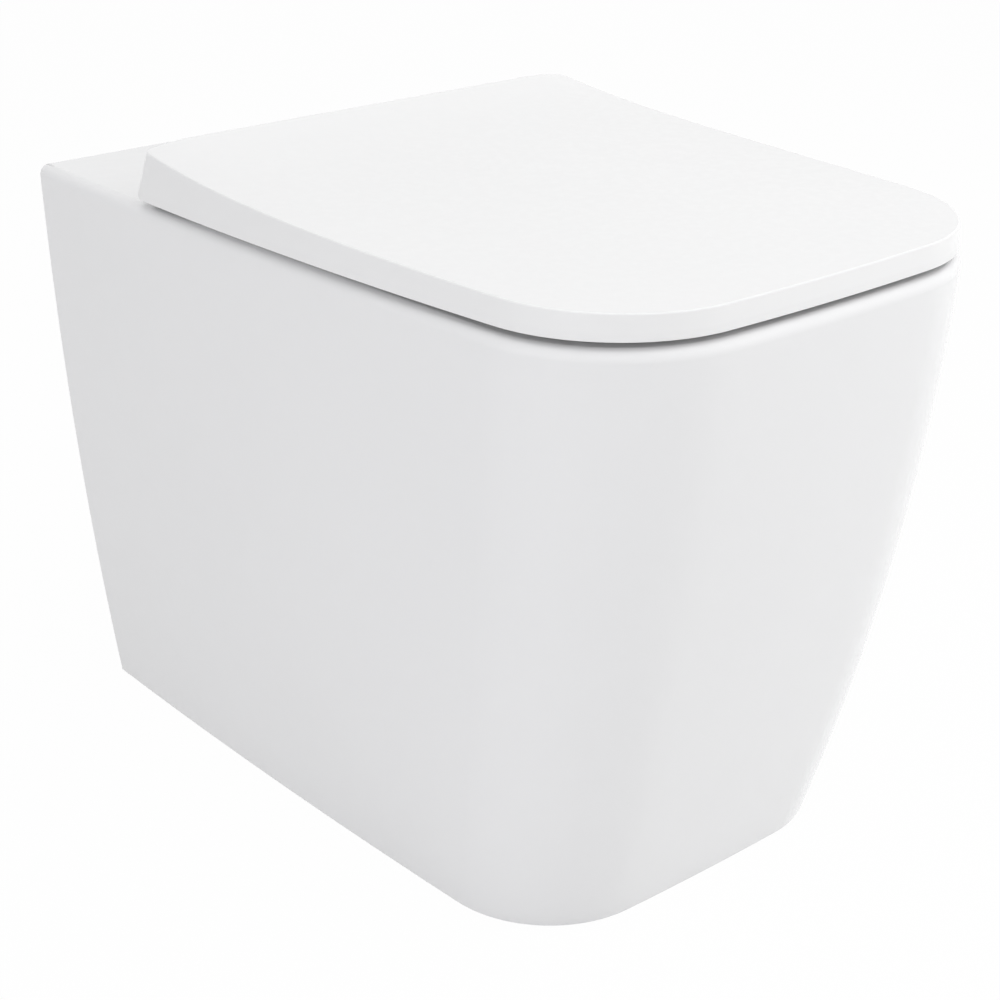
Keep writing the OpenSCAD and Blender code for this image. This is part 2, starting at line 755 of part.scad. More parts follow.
// Sprung plate with a keyhole that locks under the post's head; its head is the push button.
module release_latch(s) {
  head_y = body_front - latch_travel - 0.1;
  color(polymer) difference() {
    union() {
      box_between(
        s * fix_x - 7, s * fix_x + 7, head_y - over, post_y + 5.5,
        latch_z, latch_z + latch_t
      );
      box_between(
        s * fix_x - 6, s * fix_x + 6, head_y - 3, head_y,
        latch_z - 2.5, latch_z + latch_t + 2.5
      );
    }
    translate([s * fix_x, post_y, latch_z - over]) cylinder(r = groove_r + seat_off, h = latch_t + 2 * over);
    translate([s * fix_x, post_y - latch_travel, latch_z - over])
      cylinder(r = post_r + seat_off, h = latch_t + 2 * over);
  }
}

module hinge_post(s) {
  socket_z = plate_top + post_flange_h + 3;
  top = body_bottom - over + hinge_h - 0.5;
  color(steel) translate([s * fix_x, post_y, 0]) difference() {
    union() {
      translate([0, 0, plate_top]) cylinder(r = post_flange_r, h = post_flange_h);
      translate([0, 0, plate_top]) cylinder(r = post_r, h = latch_z - seat_off - plate_top);
      translate([0, 0, latch_z - over]) cylinder(r = groove_r, h = latch_t + 2 * over);
      translate([0, 0, latch_z + latch_t + seat_off]) cylinder(r = post_r, h = top - latch_z - latch_t - seat_off);
    }
    translate([0, 0, plate_top - over]) cylinder(r = stud_r + fit, h = socket_z - plate_top + over);
  }
}

module disc(s, z, r, h, hole) {
  translate([s * fix_x, post_y, z]) difference() {
    cylinder(r = r, h = h);
    translate([0, 0, -over]) cylinder(r = hole, h = h + 2 * over);
  }
}

module hinge_plate(s) {
  color(steel) disc(s, pan_h + gasket_h, plate_r, plate_h, stud_r + 0.2);
}

module plate_gasket(s) {
  color(clear_rubber) disc(s, pan_h, plate_r - 1, gasket_h, stud_r + 0.3);
}

sleeve_top = pan_h - 0.5;
sleeve_bottom = pan_h - deck_t - 34;
nut_h = 12;

module fixing_stud(s) {
  bottom = sleeve_bottom - nut_h - 3;
  top = plate_top + post_flange_h + 2.8;
  color(steel) translate([s * fix_x, post_y, bottom]) cylinder(r = stud_r, h = top - bottom);
}

module expansion_sleeve(s) {
  under = pan_h - deck_t - seat_off;
  in_r = stud_r + 0.1;
  hole_r = fixing_hole_r - 0.25;
  color(black_rubber) translate([s * fix_x, post_y, 0]) rotate_extrude() polygon([
    [in_r, sleeve_bottom],
    [hole_r - 1, sleeve_bottom],
    [hole_r + 1, under - 22],
    [hole_r + 4, under - 14],
    [hole_r + 4.5, under - 8],
    [hole_r + 3, under],
    [hole_r, under],
    [hole_r, sleeve_top],
    [in_r, sleeve_top]
  ]);
}

module cone_nut(s) {
  hex_h = 6;
  color(polymer) translate([s * fix_x, post_y, sleeve_bottom - nut_h]) difference() {
    union() {
      cylinder(r = fixing_hole_r - 0.75, h = hex_h, $fn = 6);
      translate([0, 0, hex_h]) cylinder(r1 = fixing_hole_r - 1.2, r2 = fixing_hole_r - 2.5, h = nut_h - hex_h);
    }
    translate([0, 0, -over]) cylinder(r = stud_r + fit, h = nut_h + 2 * over);
  }
}

// ---------- floor fixings ----------

bracket_y = wall_y - lug_at - pan_lug_t;
hole_front = bracket_l - 18;

module floor_bracket(s) {
  x = s * bracket_x;
  top = lug_bolt_z + 16;
  color(steel) difference() {
    union() {
      box_between(x - bracket_w / 2, x + bracket_w / 2, bracket_y - bracket_l, bracket_y, 0, bracket_t);
      box_between(x - bracket_w / 3, x + bracket_w / 3, bracket_y - bracket_t, bracket_y, 0, top);
    }
    along_y(x, lug_bolt_z, clamp_r + 0.5, lug_at + pan_lug_t - over, lug_at + pan_lug_t + bracket_t + over);
    for (d = [hole_front, hole_front - bracket_hole_pitch])
      translate([x, bracket_y - d, -over]) cylinder(r = bracket_hole_r, h = bracket_t + 2 * over);
  }
}

// The usual proportions of hexagon bolts and nuts, from the bolt's radius.
washer_t = 0.4 * clamp_r;
washer_r = 2.25 * clamp_r;
hexagon_r = 1.875 * clamp_r;
clamp_head_t = 1.3 * clamp_r;
clamp_nut_t = 1.625 * clamp_r;
clamp_end = lug_at + pan_lug_t + bracket_t + 2.5 * clamp_r;

module clamp_bolts() {
  head_at = lug_at - washer_t;
  color(steel) for (s = [left, right]) {
    along_y(s * bracket_x, lug_bolt_z, clamp_r, head_at, clamp_end);
    translate([s * bracket_x, wall_y - head_at, lug_bolt_z])
      rotate([-90, 0, 0]) cylinder(r = hexagon_r, h = clamp_head_t, $fn = 6);
  }
}

module clamp_washers() {
  color(steel) for (s = [left, right]) difference() {
    along_y(s * bracket_x, lug_bolt_z, washer_r, lug_at - washer_t, lug_at);
    along_y(s * bracket_x, lug_bolt_z, clamp_r + 0.3, lug_at - washer_t - over, lug_at + over);
  }
}

module clamp_nuts() {
  from = lug_at + pan_lug_t + bracket_t;
  color(steel) for (s = [left, right]) difference() {
    translate([s * bracket_x, wall_y - from, lug_bolt_z])
      rotate([90, 0, 0]) cylinder(r = hexagon_r, h = clamp_nut_t, $fn = 6);
    along_y(s * bracket_x, lug_bolt_z, clamp_r + fit, from - over, from + clamp_nut_t + over);
  }
}

pan();
inlet_seal();
seat_ring();
lid();
seat_buffers();
lid_buffers();
ring_damper();
ring_bush();
lid_damper();
lid_bush();
hinge_pin(left);  // hinge_pin_left
hinge_pin(right);  // hinge_pin_right
hinge_body(left);  // hinge_body_left
hinge_body(right);  // hinge_body_right
release_latch(left);  // release_latch_left
release_latch(right);  // release_latch_right
hinge_post(left);  // hinge_post_left
hinge_post(right);  // hinge_post_right
hinge_plate(left);  // hinge_plate_left
hinge_plate(right);  // hinge_plate_right
plate_gasket(left);  // plate_gasket_left
plate_gasket(right);  // plate_gasket_right
fixing_stud(left);  // fixing_stud_left
fixing_stud(right);  // fixing_stud_right
expansion_sleeve(left);  // expansion_sleeve_left
expansion_sleeve(right);  // expansion_sleeve_right
cone_nut(left);  // cone_nut_left
cone_nut(right);  // cone_nut_right
floor_bracket(left);  // floor_bracket_left
floor_bracket(right);  // floor_bracket_right
clamp_bolts();
clamp_washers();
clamp_nuts();
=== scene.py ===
"""Back to wall toilet: smooth china and seat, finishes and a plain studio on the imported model."""
import math

import bpy
import numpy as np
from bpy.props import FloatProperty, FloatVectorProperty, PointerProperty
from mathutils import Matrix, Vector


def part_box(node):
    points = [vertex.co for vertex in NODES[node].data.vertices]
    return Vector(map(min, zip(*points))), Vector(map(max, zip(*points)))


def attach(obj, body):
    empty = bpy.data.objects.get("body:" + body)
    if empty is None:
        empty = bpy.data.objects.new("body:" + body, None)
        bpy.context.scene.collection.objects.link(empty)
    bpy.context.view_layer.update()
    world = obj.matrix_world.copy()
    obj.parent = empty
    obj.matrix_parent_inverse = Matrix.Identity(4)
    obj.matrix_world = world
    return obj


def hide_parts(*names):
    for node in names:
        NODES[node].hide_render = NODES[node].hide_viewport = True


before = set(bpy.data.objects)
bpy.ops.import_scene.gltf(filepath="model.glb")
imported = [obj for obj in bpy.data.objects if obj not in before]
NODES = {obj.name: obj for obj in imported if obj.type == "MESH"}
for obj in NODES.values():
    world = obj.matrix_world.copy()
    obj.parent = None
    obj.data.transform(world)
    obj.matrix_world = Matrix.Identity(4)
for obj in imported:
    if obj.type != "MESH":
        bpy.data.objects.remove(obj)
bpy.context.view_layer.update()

bl_info = {
    "name": "Back to Wall Toilet",
    "version": (1, 0, 0),
    "blender": (4, 5, 0),
    "location": "View3D > Sidebar > Toilet",
    "description": "Makes the china and seat of a back to wall toilet and finishes its fittings",
    "category": "Object",
}

SIDES = (-1, 1)
MM = 0.001
OVER = 1 * MM  # how far a cutter runs past the face that it cuts

# Steps along the arcs of a plan outline: rear corner, side, front corner and nose.
REAR_STEPS, SIDE_STEPS, CORNER_STEPS, NOSE_STEPS = 6, 40, 24, 14
EDGE_STEPS = 10  # steps of the china's quarter roundings
ROW_STEPS, RING_STEPS = 31, 120  # steps across the lid's rows and along the ring's rear

# How the bowl widens from its round sump: powers of the height, and how square its mouth gets.
SIDE_OPENS, FRONT_OPENS = 0.75, 0.6
ROUND, EXTRA_SQUARE = 2, 1.2
DIP_POINTS, CREST_POINTS = 37, 19  # points along the trap's two bends

# Floor fixing lugs: half width beside the bolt, underside, and top above the bolt.
LUG_HALF, LUG_LOW, LUG_RISE = 12 * MM, 12 * MM, 20 * MM

# Pads: distance from the middle and reach, in millimetres, then the size of their pockets.
LID_PADS = ((128, 330), (108, 490))
RING_PADS = ((144, 300), (141, 455))
POCKET_RADIUS, POCKET_HALF = 6.2 * MM, 12 * MM
LID_POCKET, RING_POCKET = 1.2 * MM, 2 * MM

# The lid: steps of its lower lip, heel and top edge, and the turn at which its heel starts.
LIP_STEPS, HEEL_STEPS, TOP_STEPS, HEEL_START = 5, 7, 9, 0.42

# The ring: steps over its top and into its opening, squareness and rounding of the opening,
# and the dish of its top.
DISH_STEPS, HOLE_STEPS = 13, 7
HOLE_SQUARE, HOLE_EDGE = 2.8, 5 * MM
DISH, DISH_POWER, HOLE_DROP = 1.4 * MM, 1.4, 2.6 * MM
RING_CORNER, ARM_OVERLAP, NOTCH_LENGTH = 6 * MM, 8 * MM, 34 * MM

# Angles in degrees over which an edge stays sharp.
CHINA_SHARP, SEAT_SHARP, FITTING_SHARP = 32.0, 28.0, 30.0

# Lamps: azimuth and elevation in degrees, and height in metres.
LAMPS = {
    "key": (40, 40, 2.4), "fill": (-20, 40, 2.4), "top": (0, 88, 2.4),
    "right": (60, 12, 1.2), "left": (-80, 12, 1.2),
}
LAMP_WIDTH, LAMP_DISTANCE, LAMP_AIM = 2.4, 2.2, (0, 0, 0.25)
FLOOR_HALF = 15
WHITE = (1.0, 1.0, 1.0)

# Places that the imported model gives.
pan_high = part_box("pan")[1]
lid_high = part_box("lid")[1]
ring_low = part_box("seat_ring")[0]
post_low, post_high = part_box("hinge_post_right")
pin_low, pin_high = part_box("hinge_pin_right")
damper_low, damper_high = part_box("lid_damper")
bush_low, bush_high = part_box("ring_bush")
seal_low, seal_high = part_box("inlet_seal")
clamp_low, clamp_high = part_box("clamp_bolts")
WALL_Y = pan_high.y
DECK_Z = pan_high.z
HINGE_Y = (pin_low.y + pin_high.y) / 2
HINGE_Z = (pin_low.z + pin_high.z) / 2
POST_X = (post_low.x + post_high.x) / 2
POST_Y = (post_low.y + post_high.y) / 2
INLET_Z = (seal_low.z + seal_high.z) / 2
CLAMP_Z = (clamp_low.z + clamp_high.z) / 2


def length(name, default, description):
    """A size in metres, written in millimetres."""
    return FloatProperty(
        name=name, description=description, default=default * MM, min=0.0, unit="LENGTH",
        precision=4,
    )


def tint(name, default, description):
    """A linear colour."""
    return FloatVectorProperty(
        name=name, description=description, default=default, subtype="COLOR", size=3, min=0.0,
        max=1.0,
    )


def level(name, default, description, high=10.0):
    """A plain number from nothing to high."""
    return FloatProperty(name=name, description=description, default=default, min=0.0, max=high)


def angle(name, default, description):
    """An angle, written in degrees."""
    return FloatProperty(
        name=name, description=description, default=math.radians(default), subtype="ANGLE"
    )


class PanSizes(bpy.types.PropertyGroup):
    """Sizes of the china, measured from the wall where they are reaches."""

    rim_depth: length("Rim Depth", 564.5, "Reach of the rim's front from the wall")
    rim_width: length("Rim Width", 346.5, "Width of the rim at the wall")
    foot_width: length("Foot Width", 282.5, "Width of the foot at the wall")
    foot_depth: length("Foot Depth", 484, "Reach of the foot's front")
    side_bow: length("Side Bow", 5.9, "Outward bow of the side walls half way up")
    front_bow: length("Front Bow", 10.7, "Outward bow of the front wall half way up")
    widest_at: length("Widest At", 238, "Reach at which the pan and the seat are widest")
    rim_swell: length("Rim Swell", 4, "Extra half width of the rim there")
    foot_swell: length("Foot Swell", 4.9, "Extra half width of the foot there")
    rim_corner: length("Rim Corner", 99.5, "Plan radius of the rim's front corners")
    foot_corner: length("Foot Corner", 77.5, "Plan radius of the foot's front corners")
    rim_nose: length("Rim Nose", 1630, "Plan radius of the rim's front")
    foot_nose: length("Foot Nose", 2500, "Plan radius of the foot's front")
    rim_edge: length("Rim Edge", 7.5, "Rounding of the rim's outer edge")
    deck_edge: length("Deck Edge", 2, "Rounding of the deck's edge at the wall")
    skirt: length("Skirt", 12, "Thickness of the skirt")
    deck: length("Deck", 14, "Thickness of the deck")
    bowl_width: length("Bowl Width", 244, "Width of the bowl's mouth")
    bowl_front: length("Bowl Front", 517, "Reach of the bowl's front edge")
    bowl_rear: length("Bowl Rear", 222, "Reach of the bowl's rear edge")
    mouth_edge: length("Mouth Edge", 6, "Rounding of the bowl's mouth")
    bowl_wall: length("Bowl Wall", 11, "Thickness of the bowl's wall")
    sump_at: length("Sump At", 294, "Reach of the sump's centre")
    sump_height: length("Sump Height", 125, "Height of the sump's round end")
    trap_bore: length("Trap Bore", 38, "Bore radius of the trap")
    trap_wall: length("Trap Wall", 8, "Thickness of the trap's wall")
    dip_bend: length("Dip Bend", 50, "Bend radius of the lower bend")
    dip_height: length("Dip Height", 112, "Height of the lower bend's centre")
    crest_bend: length("Crest Bend", 50, "Bend radius of the upper bend")
    outlet_height: length("Outlet Height", 190, "Height of the outlet's centre")
    outlet_radius: length("Outlet Radius", 51, "Outer radius of the outlet spigot")
    outlet_length: length("Outlet Length", 45, "Length of the outlet spigot")
    outlet_end: length("Outlet End", 62, "Reach of the outlet's open end")
    socket_radius: length("Socket Radius", 27.5, "Radius of the inlet socket")
    socket_length: length("Socket Length", 36, "Depth of the inlet socket")
    horn_wall: length("Horn Wall", 10, "Thickness of the inlet horn's wall")
    horn_end: length("Horn End", 46, "Reach of the inlet horn's mouth")
    passage: length("Passage", 20, "Radius of the water passage into the bowl")
    fixing_hole: length("Fixing Hole", 7.25, "Radius of the seat's fixing holes")
    lug_at: length("Lug At", 84, "Reach of the rear of the floor fixing lugs")
    lug_thickness: length("Lug Thickness", 14, "Thickness of the floor fixing lugs")
    clamp_pitch: length("Clamp Pitch", 214.5, "Spacing of the two clamp bolts")
    clamp_hole: length("Clamp Hole", 5, "Radius of the holes for the clamp bolts")


class SeatSizes(bpy.types.PropertyGroup):
    """Sizes of the lid and the ring."""

    front: length("Lid Front", 561.5, "Reach of the lid's front edge")
    width: length("Lid Width", 359.5, "Width of the lid at its widest")
    swell: length("Lid Swell", 9.8, "Extra half width of the lid there")
    corner: length("Lid Corner", 93.5, "Plan radius of the lid's front corners")
    front_radius: length("Lid Front Radius", 1670, "Plan radius of the lid's front edge")
    rear: length("Lid Rear", 131.5, "Reach of the lid's rear edge at its bottom")
    lean: length("Rear Lean", 14, "Forward lean of the lid's rear face")
    heel: length("Heel", 5, "Rounding of the lid's rear bottom edge")
    rear_corner: length("Rear Corner", 5, "Plan radius of the lid's rear corners at its top")
    corner_fall: length("Corner Fall", 4.2, "Fall of the lid's top towards its rear corners")
    fall_width: length("Fall Width", 38, "Distance from the lid's side over which it falls")
    fall_length: length("Fall Length", 50, "Distance from the rear over which that fall ends")
    gap: length("Lid Gap", 4.2, "Gap between the deck and the lid's edge")
    front_height: length("Front Height", 19.1, "Lid's top above the deck at the front")
    rear_height: length("Rear Height", 41.1, "Lid's top above the deck at the rear")
    fall: length("Lid Fall", 4.5, "Even fall of the lid's top from rear to front")
    rise_share: level("Rise Share", 0.19, "Share of the length over which the rear rise ends", 1.0)
    panel: length("Lid Panel", 4, "Thickness of the lid's top")
    skirt: length("Lid Skirt", 5, "Thickness of the lid's turned down edge")
    edge: length("Lid Edge", 1.2, "Rounding of the lid's top edge")
    draft: length("Lid Draft", 1.0, "How far the lid's top edge stands in from its bottom edge")
    low_edge: length("Low Edge", 0.4, "Rounding of the lid's bottom edge")
    ring_gap: length("Ring Gap", 2.5, "Gap between the ring and the lid's skirt")
    ring_lift: length("Ring Lift", 4.5, "Gap between the rim and the ring")
    pad_gap: length("Pad Gap", 2, "Gap between the ring and the lid's top")
    hole_width: length("Hole Width", 216, "Width of the opening in the ring")
    hole_front: length("Hole Front", 497, "Reach of the opening's front")
    hole_rear: length("Hole Rear", 232, "Reach of the opening's rear")
    ring_rear: length("Ring Rear", 173, "Reach of the ring's rear edge")
    barrel: length("Barrel Radius", 8, "Radius of the hinge barrels")
    slack: length("Hinge Slack", 0.5, "End gap between the hinge barrels")
    fit: length("Damper Fit", 0.03, "Radial gap round the dampers")


class Finishes(bpy.types.PropertyGroup):
    """Colours of the finishes, as linear values."""

    glaze: tint("Glaze", (0.862, 0.862, 0.868), "Colour of the glazed china")
    biscuit: tint("Biscuit", (0.74, 0.72, 0.68), "Colour of the bare china inside the skirt")
    seat: tint("Seat", (0.87, 0.87, 0.872), "Colour of the thermoset seat and lid")
    steel: tint("Steel", (0.60, 0.60, 0.59), "Colour of the stainless steel")
    zinc: tint("Zinc", (0.55, 0.57, 0.60), "Colour of the zinc plated steel")
    polymer: tint("Polymer", (0.56, 0.57, 0.58), "Colour of the moulded hinge pieces")
    rubber: tint("Rubber", (0.022, 0.022, 0.024), "Colour of the black rubber")
    pad: tint("Pad", (0.62, 0.64, 0.63), "Colour of the soft clear pads")


class StudioSettings(bpy.types.PropertyGroup):
    """Camera and lamps."""

    azimuth: angle("Azimuth", -40.64, "Camera's turn from the front")
    elevation: angle("Elevation", 23.39, "Camera's height above the horizon")
    distance: length("Distance", 1510.8, "Camera's distance from its target")
    target: FloatVectorProperty(
        name="Target", description="Point that the camera looks at",
        default=(0.06842, 0.0807, 0.14861), subtype="TRANSLATION", size=3,
    )
    lens: level("Lens", 74.2, "Focal length in millimetres", 500.0)
    sky: level("Sky", 0.2, "Strength of the even light from all round")
    key: level("Key", 16.0, "Power of the lamp at the front right, in watts", 500.0)
    fill: level("Fill", 10.5, "Power of the lamp at the front left, in watts", 500.0)
    top: level("Top", 24.8, "Power of the lamp overhead, in watts", 500.0)
    right: level("Right", 16.4, "Power of the low lamp on the right, in watts", 500.0)
    left: level("Left", 16.8, "Power of the low lamp on the left, in watts", 500.0)
    cool: tint("Cool", (0.98, 0.98, 1.0), "Colour of the low lamp on the left")
    floor_white: level("Floor White", 0.98, "Share of the floor that shows as plain white", 1.0)


# ---------- plan outlines and lofted meshes ----------


def arc(centre, radius, start, end, steps):
    """Points on an arc between two angles."""
    turn = np.linspace(start, end, steps + 1)
    return np.column_stack((centre[0] + radius * np.cos(turn), centre[1] + radius * np.sin(turn)))


def plan(
    half, front, rear, swell, corner, nose, widest, grow=0.0, rear_round=0.0, rear_steps=1, fine=1
):
    """Closed outline of three tangent arcs a side, anticlockwise from the middle of its front."""
    side_r = widest**2 / (2 * swell) + swell / 2 + grow
    corner_r, nose_r = corner + grow, nose + grow
    a = np.array((half + grow - side_r, -widest))
    b = np.array((0.0, nose_r - front - grow))
    span = np.linalg.norm(b - a)
    near_a, near_b = side_r - corner_r, nose_r - corner_r
    along = (near_a**2 - near_b**2 + span**2) / (2 * span)
    e = (b - a) / span
    c = a + e * along + np.array((e[1], -e[0])) * math.sqrt(near_a**2 - along**2)
    to_corner = math.atan2(c[1] - a[1], c[0] - a[0])
    to_nose = math.atan2(c[1] - b[1], c[0] - b[0])
    start = rear + rear_round
    first = math.asin((widest - start) / side_r)
    side_x = a[0] + side_r * math.cos(first)
    rear_arc = np.array([[side_x, -start]])
    if rear_round:
        steps = REAR_STEPS * fine
        rear_arc = arc((side_x - rear_round, -start), rear_round, math.pi / 2, 0.0, steps)
    right = np.vstack((
        rear_arc,
        arc(a, side_r, first, to_corner, SIDE_STEPS * fine)[1:],
        arc(c, corner_r, to_corner, to_nose, CORNER_STEPS * fine)[1:],
        arc(b, nose_r, to_nose, -math.pi / 2, NOSE_STEPS * fine)[1:],
    ))
    share = np.linspace(1, -1, rear_steps + 1)[1:-1]
    back = np.column_stack((right[0, 0] * share, np.full(len(share), right[0, 1])))
    outline = np.vstack((right[::-1], back, right[:-1] * (-1, 1)))
    outline[:, 1] += WALL_Y
    return outline


def at(outline, z):
    """An outline at one height."""
    return np.column_stack((outline[:, :2], np.full(len(outline), z)))


def rows_across(loop, first, spare, steps, height, up):
    """Points and faces that close a loop with rows from its right side to its left.

    height gives each point's height, and up says that the faces look up.
    """
    count = len(loop)
    last = (count - steps) // 2
    share = np.linspace(1, -1, steps + 1)[1:-1]
    points, faces = [], []
    row = [first] * (steps + 1)
    for i in range(1, last + 1):
        ahead, start = row, spare + len(points)
        row = [first + last + k for k in range(steps + 1)]
        if i < last:
            row = [first + i, *range(start, start + steps - 1), first + count - i]
            x, y = loop[i, 0] * share, loop[i, 1]
            points += [(across, y, height(across, y)) for across in x]
        across = [[ahead[k], row[k], row[k + 1], ahead[k + 1]] for k in range(steps)]
        faces += [face[:3] for face in across] if i == 1 else across
    return points, faces if up else [face[::-1] for face in faces]


def loft(name, loops, ends="flat", steps=1, heights=()):
    """A closed mesh through loops; ends are flat, in rows across, or joined into a ring."""
    count, rows = len(loops[0]), len(loops)
    bands = rows if ends == "ring" else rows - 1
    here = np.arange(count)
    ahead = np.roll(here, -1)
    faces = []
    for k in range(bands):
        low, high = k * count, ((k + 1) % rows) * count
        faces += np.column_stack((low + here, low + ahead, high + ahead, high + here)).tolist()
    if ends == "flat":
        faces += [here[::-1].tolist(), ((rows - 1) * count + here).tolist()]
    points = np.vstack(loops).tolist()
    if ends == "rows":
        for place, height in zip((0, rows - 1), heights):
            closing = (loops[place], place * count, len(points), steps, height, place > 0)
            more, rows_faces = rows_across(*closing)
            points, faces = points + more, faces + rows_faces
    mesh = bpy.data.meshes.new(name)
    mesh.from_pydata(points, [], faces)
    mesh.validate()
    outward(mesh)
    return mesh


def outward(mesh):
    """Turns a closed mesh's faces outward."""
    mesh.calc_loop_triangles()
    points = np.array([v.co for v in mesh.vertices])
    tri = points[np.array([t.vertices for t in mesh.loop_triangles])]
    if np.einsum("ij,ij->i", tri[:, 0], np.cross(tri[:, 1], tri[:, 2])).sum() < 0:
        mesh.flip_normals()


def superellipse(turn, half, long, square):
    """Distance from the centre of a squared ellipse to its outline, at each turn."""
    sides = (abs(np.cos(turn)) / half) ** square + (abs(np.sin(turn)) / long) ** square
    return sides ** (-1 / square)


def tube(name, path, radius, steps=72):
    """A round solid along a level or upright path in one plane, with square ends."""
    path = [Vector(p) for p in path]
    turn = np.linspace(0, 2 * math.pi, steps, endpoint=False)
    loops = []
    for i, p in enumerate(path):
        ahead = (path[min(i + 1, len(path) - 1)] - path[max(i - 1, 0)]).normalized()
        across = Vector((1, 0, 0)) if abs(ahead.x) < 0.5 else Vector((0, 1, 0))
        other = ahead.cross(across)
        rim = [p + radius * (across * math.cos(t) + other * math.sin(t)) for t in turn]
        loops.append(np.array(rim))
    return loft(name, loops)


def along_y(x, z, radius, near, far):
    """A cylinder along Y between two reaches."""
    return tube("round", [(x, WALL_Y - far, z), (x, WALL_Y - near, z)], radius)


def along_x(x0, x1, y, z, radius):
    """A cylinder along X."""
    return tube("round", [(min(x0, x1), y, z), (max(x0, x1), y, z)], radius)


def upright(x, y, z0, z1, radius):
    """A cylinder along Z."""
    return tube("round", [(x, y, z0), (x, y, z1)], radius)


def block(x0, x1, y0, y1, z0, z1):
    """A closed box between two values on each axis."""
    x0, x1 = sorted((x0, x1))
    corners = np.array([(x0, y0), (x1, y0), (x1, y1), (x0, y1)])
    return loft("block", [at(corners, z0), at(corners, z1)])


def together(*meshes):
    """Separate closed meshes as one."""
    points, faces = [], []
    for mesh in meshes:
        start = len(points)
        points += [tuple(v.co) for v in mesh.vertices]
        faces += [[start + v for v in p.vertices] for p in mesh.polygons]
    joined = bpy.data.meshes.new("joined")
    joined.from_pydata(points, [], faces)
    return joined


def link(name, data):
    """A new object in the scene."""
    made = bpy.data.objects.new(name, data)
    bpy.context.scene.collection.objects.link(made)
    return made


def shade_smooth(mesh, sharp):
    """Shades a mesh smooth, except at edges sharper than an angle in degrees."""
    mesh.polygons.foreach_set("use_smooth", [True] * len(mesh.polygons))
    mesh.set_sharp_from_angle(angle=math.radians(sharp))


class Casting:
    """A closed mesh that others are added to and cut from, each with its own finish."""

    def __init__(self, name, mesh, finish):
        mesh.materials.append(finish)
        self.piece, self.skin = link(name, mesh), finish
        self.tools = []

    def change(self, operation, mesh, finish=None):
        """Adds one step for Blender's boolean solver."""
        mesh.materials.append(finish or self.skin)
        tool = link(self.piece.name + "_tool", mesh)
        step = self.piece.modifiers.new(operation.title(), "BOOLEAN")
        step.operation, step.solver, step.object = operation, "MANIFOLD", tool
        step.material_mode = "TRANSFER"
        self.tools.append(tool)

    def join(self, mesh, finish=None):
        """Adds a mesh to the casting."""
        self.change("UNION", mesh, finish)

    def cut(self, mesh, finish=None):
        """Cuts a mesh away."""
        self.change("DIFFERENCE", mesh, finish)

    def join_barrels(self, seat, low, high, web):
        """Adds both hinge barrels between two distances from the middle, each with its web."""
        for side in SIDES:
            lug = (side * low, side * high)
            self.join(along_x(*lug, HINGE_Y, HINGE_Z, seat.barrel))
            self.join(block(*lug, *web))

    def finish(self, sharp):
        """Settles the steps, then shades the piece smooth between its real edges."""
        view = bpy.context.evaluated_depsgraph_get()
        made = bpy.data.meshes.new_from_object(self.piece.evaluated_get(view))
        if len(made.polygons) in (0, len(self.piece.data.polygons)):
            raise RuntimeError(f"the boolean steps of {self.piece.name} weren't carried out")
        self.piece.modifiers.clear()
        self.piece.data = made
        for tool in self.tools:
            bpy.data.objects.remove(tool)
        shade_smooth(made, sharp)
        shade = self.piece.modifiers.new("Face Weight", "WEIGHTED_NORMAL")
        shade.keep_sharp, shade.weight = True, 60
        return self.piece


# ---------- shader tools ----------


class Value:
    """A shader socket's number. Python's operators add Math nodes to its tree."""

    def __init__(self, tree, socket):
        self.tree, self.socket = tree, socket

    def math(self, operation, *terms):
        """One Math node on the terms."""
        node = self.tree.nodes.new("ShaderNodeMath")
        node.operation = operation
        for place, term in zip(node.inputs, terms):
            plug(self.tree, place, term)
        return Value(self.tree, node.outputs[0])

    def __add__(self, other):
        return self.math("ADD", self, other)

    def __sub__(self, other):
        return self.math("SUBTRACT", self, other)

    def __rsub__(self, other):
        return self.math("SUBTRACT", other, self)

    def __mul__(self, other):
        return self.math("MULTIPLY", self, other)

    def __pow__(self, other):
        return self.math("POWER", self, other)

    def __abs__(self):
        return self.math("ABSOLUTE", self)

    __radd__ = __add__
    __rmul__ = __mul__


def plug(tree, place, term):
    """Puts a number, a colour or a link on a socket."""
    if isinstance(term, Value):
        tree.links.new(term.socket, place)
    elif place.type == "RGBA" and len(term) == 3:
        place.default_value = (*term, 1.0)
    else:
        place.default_value = term


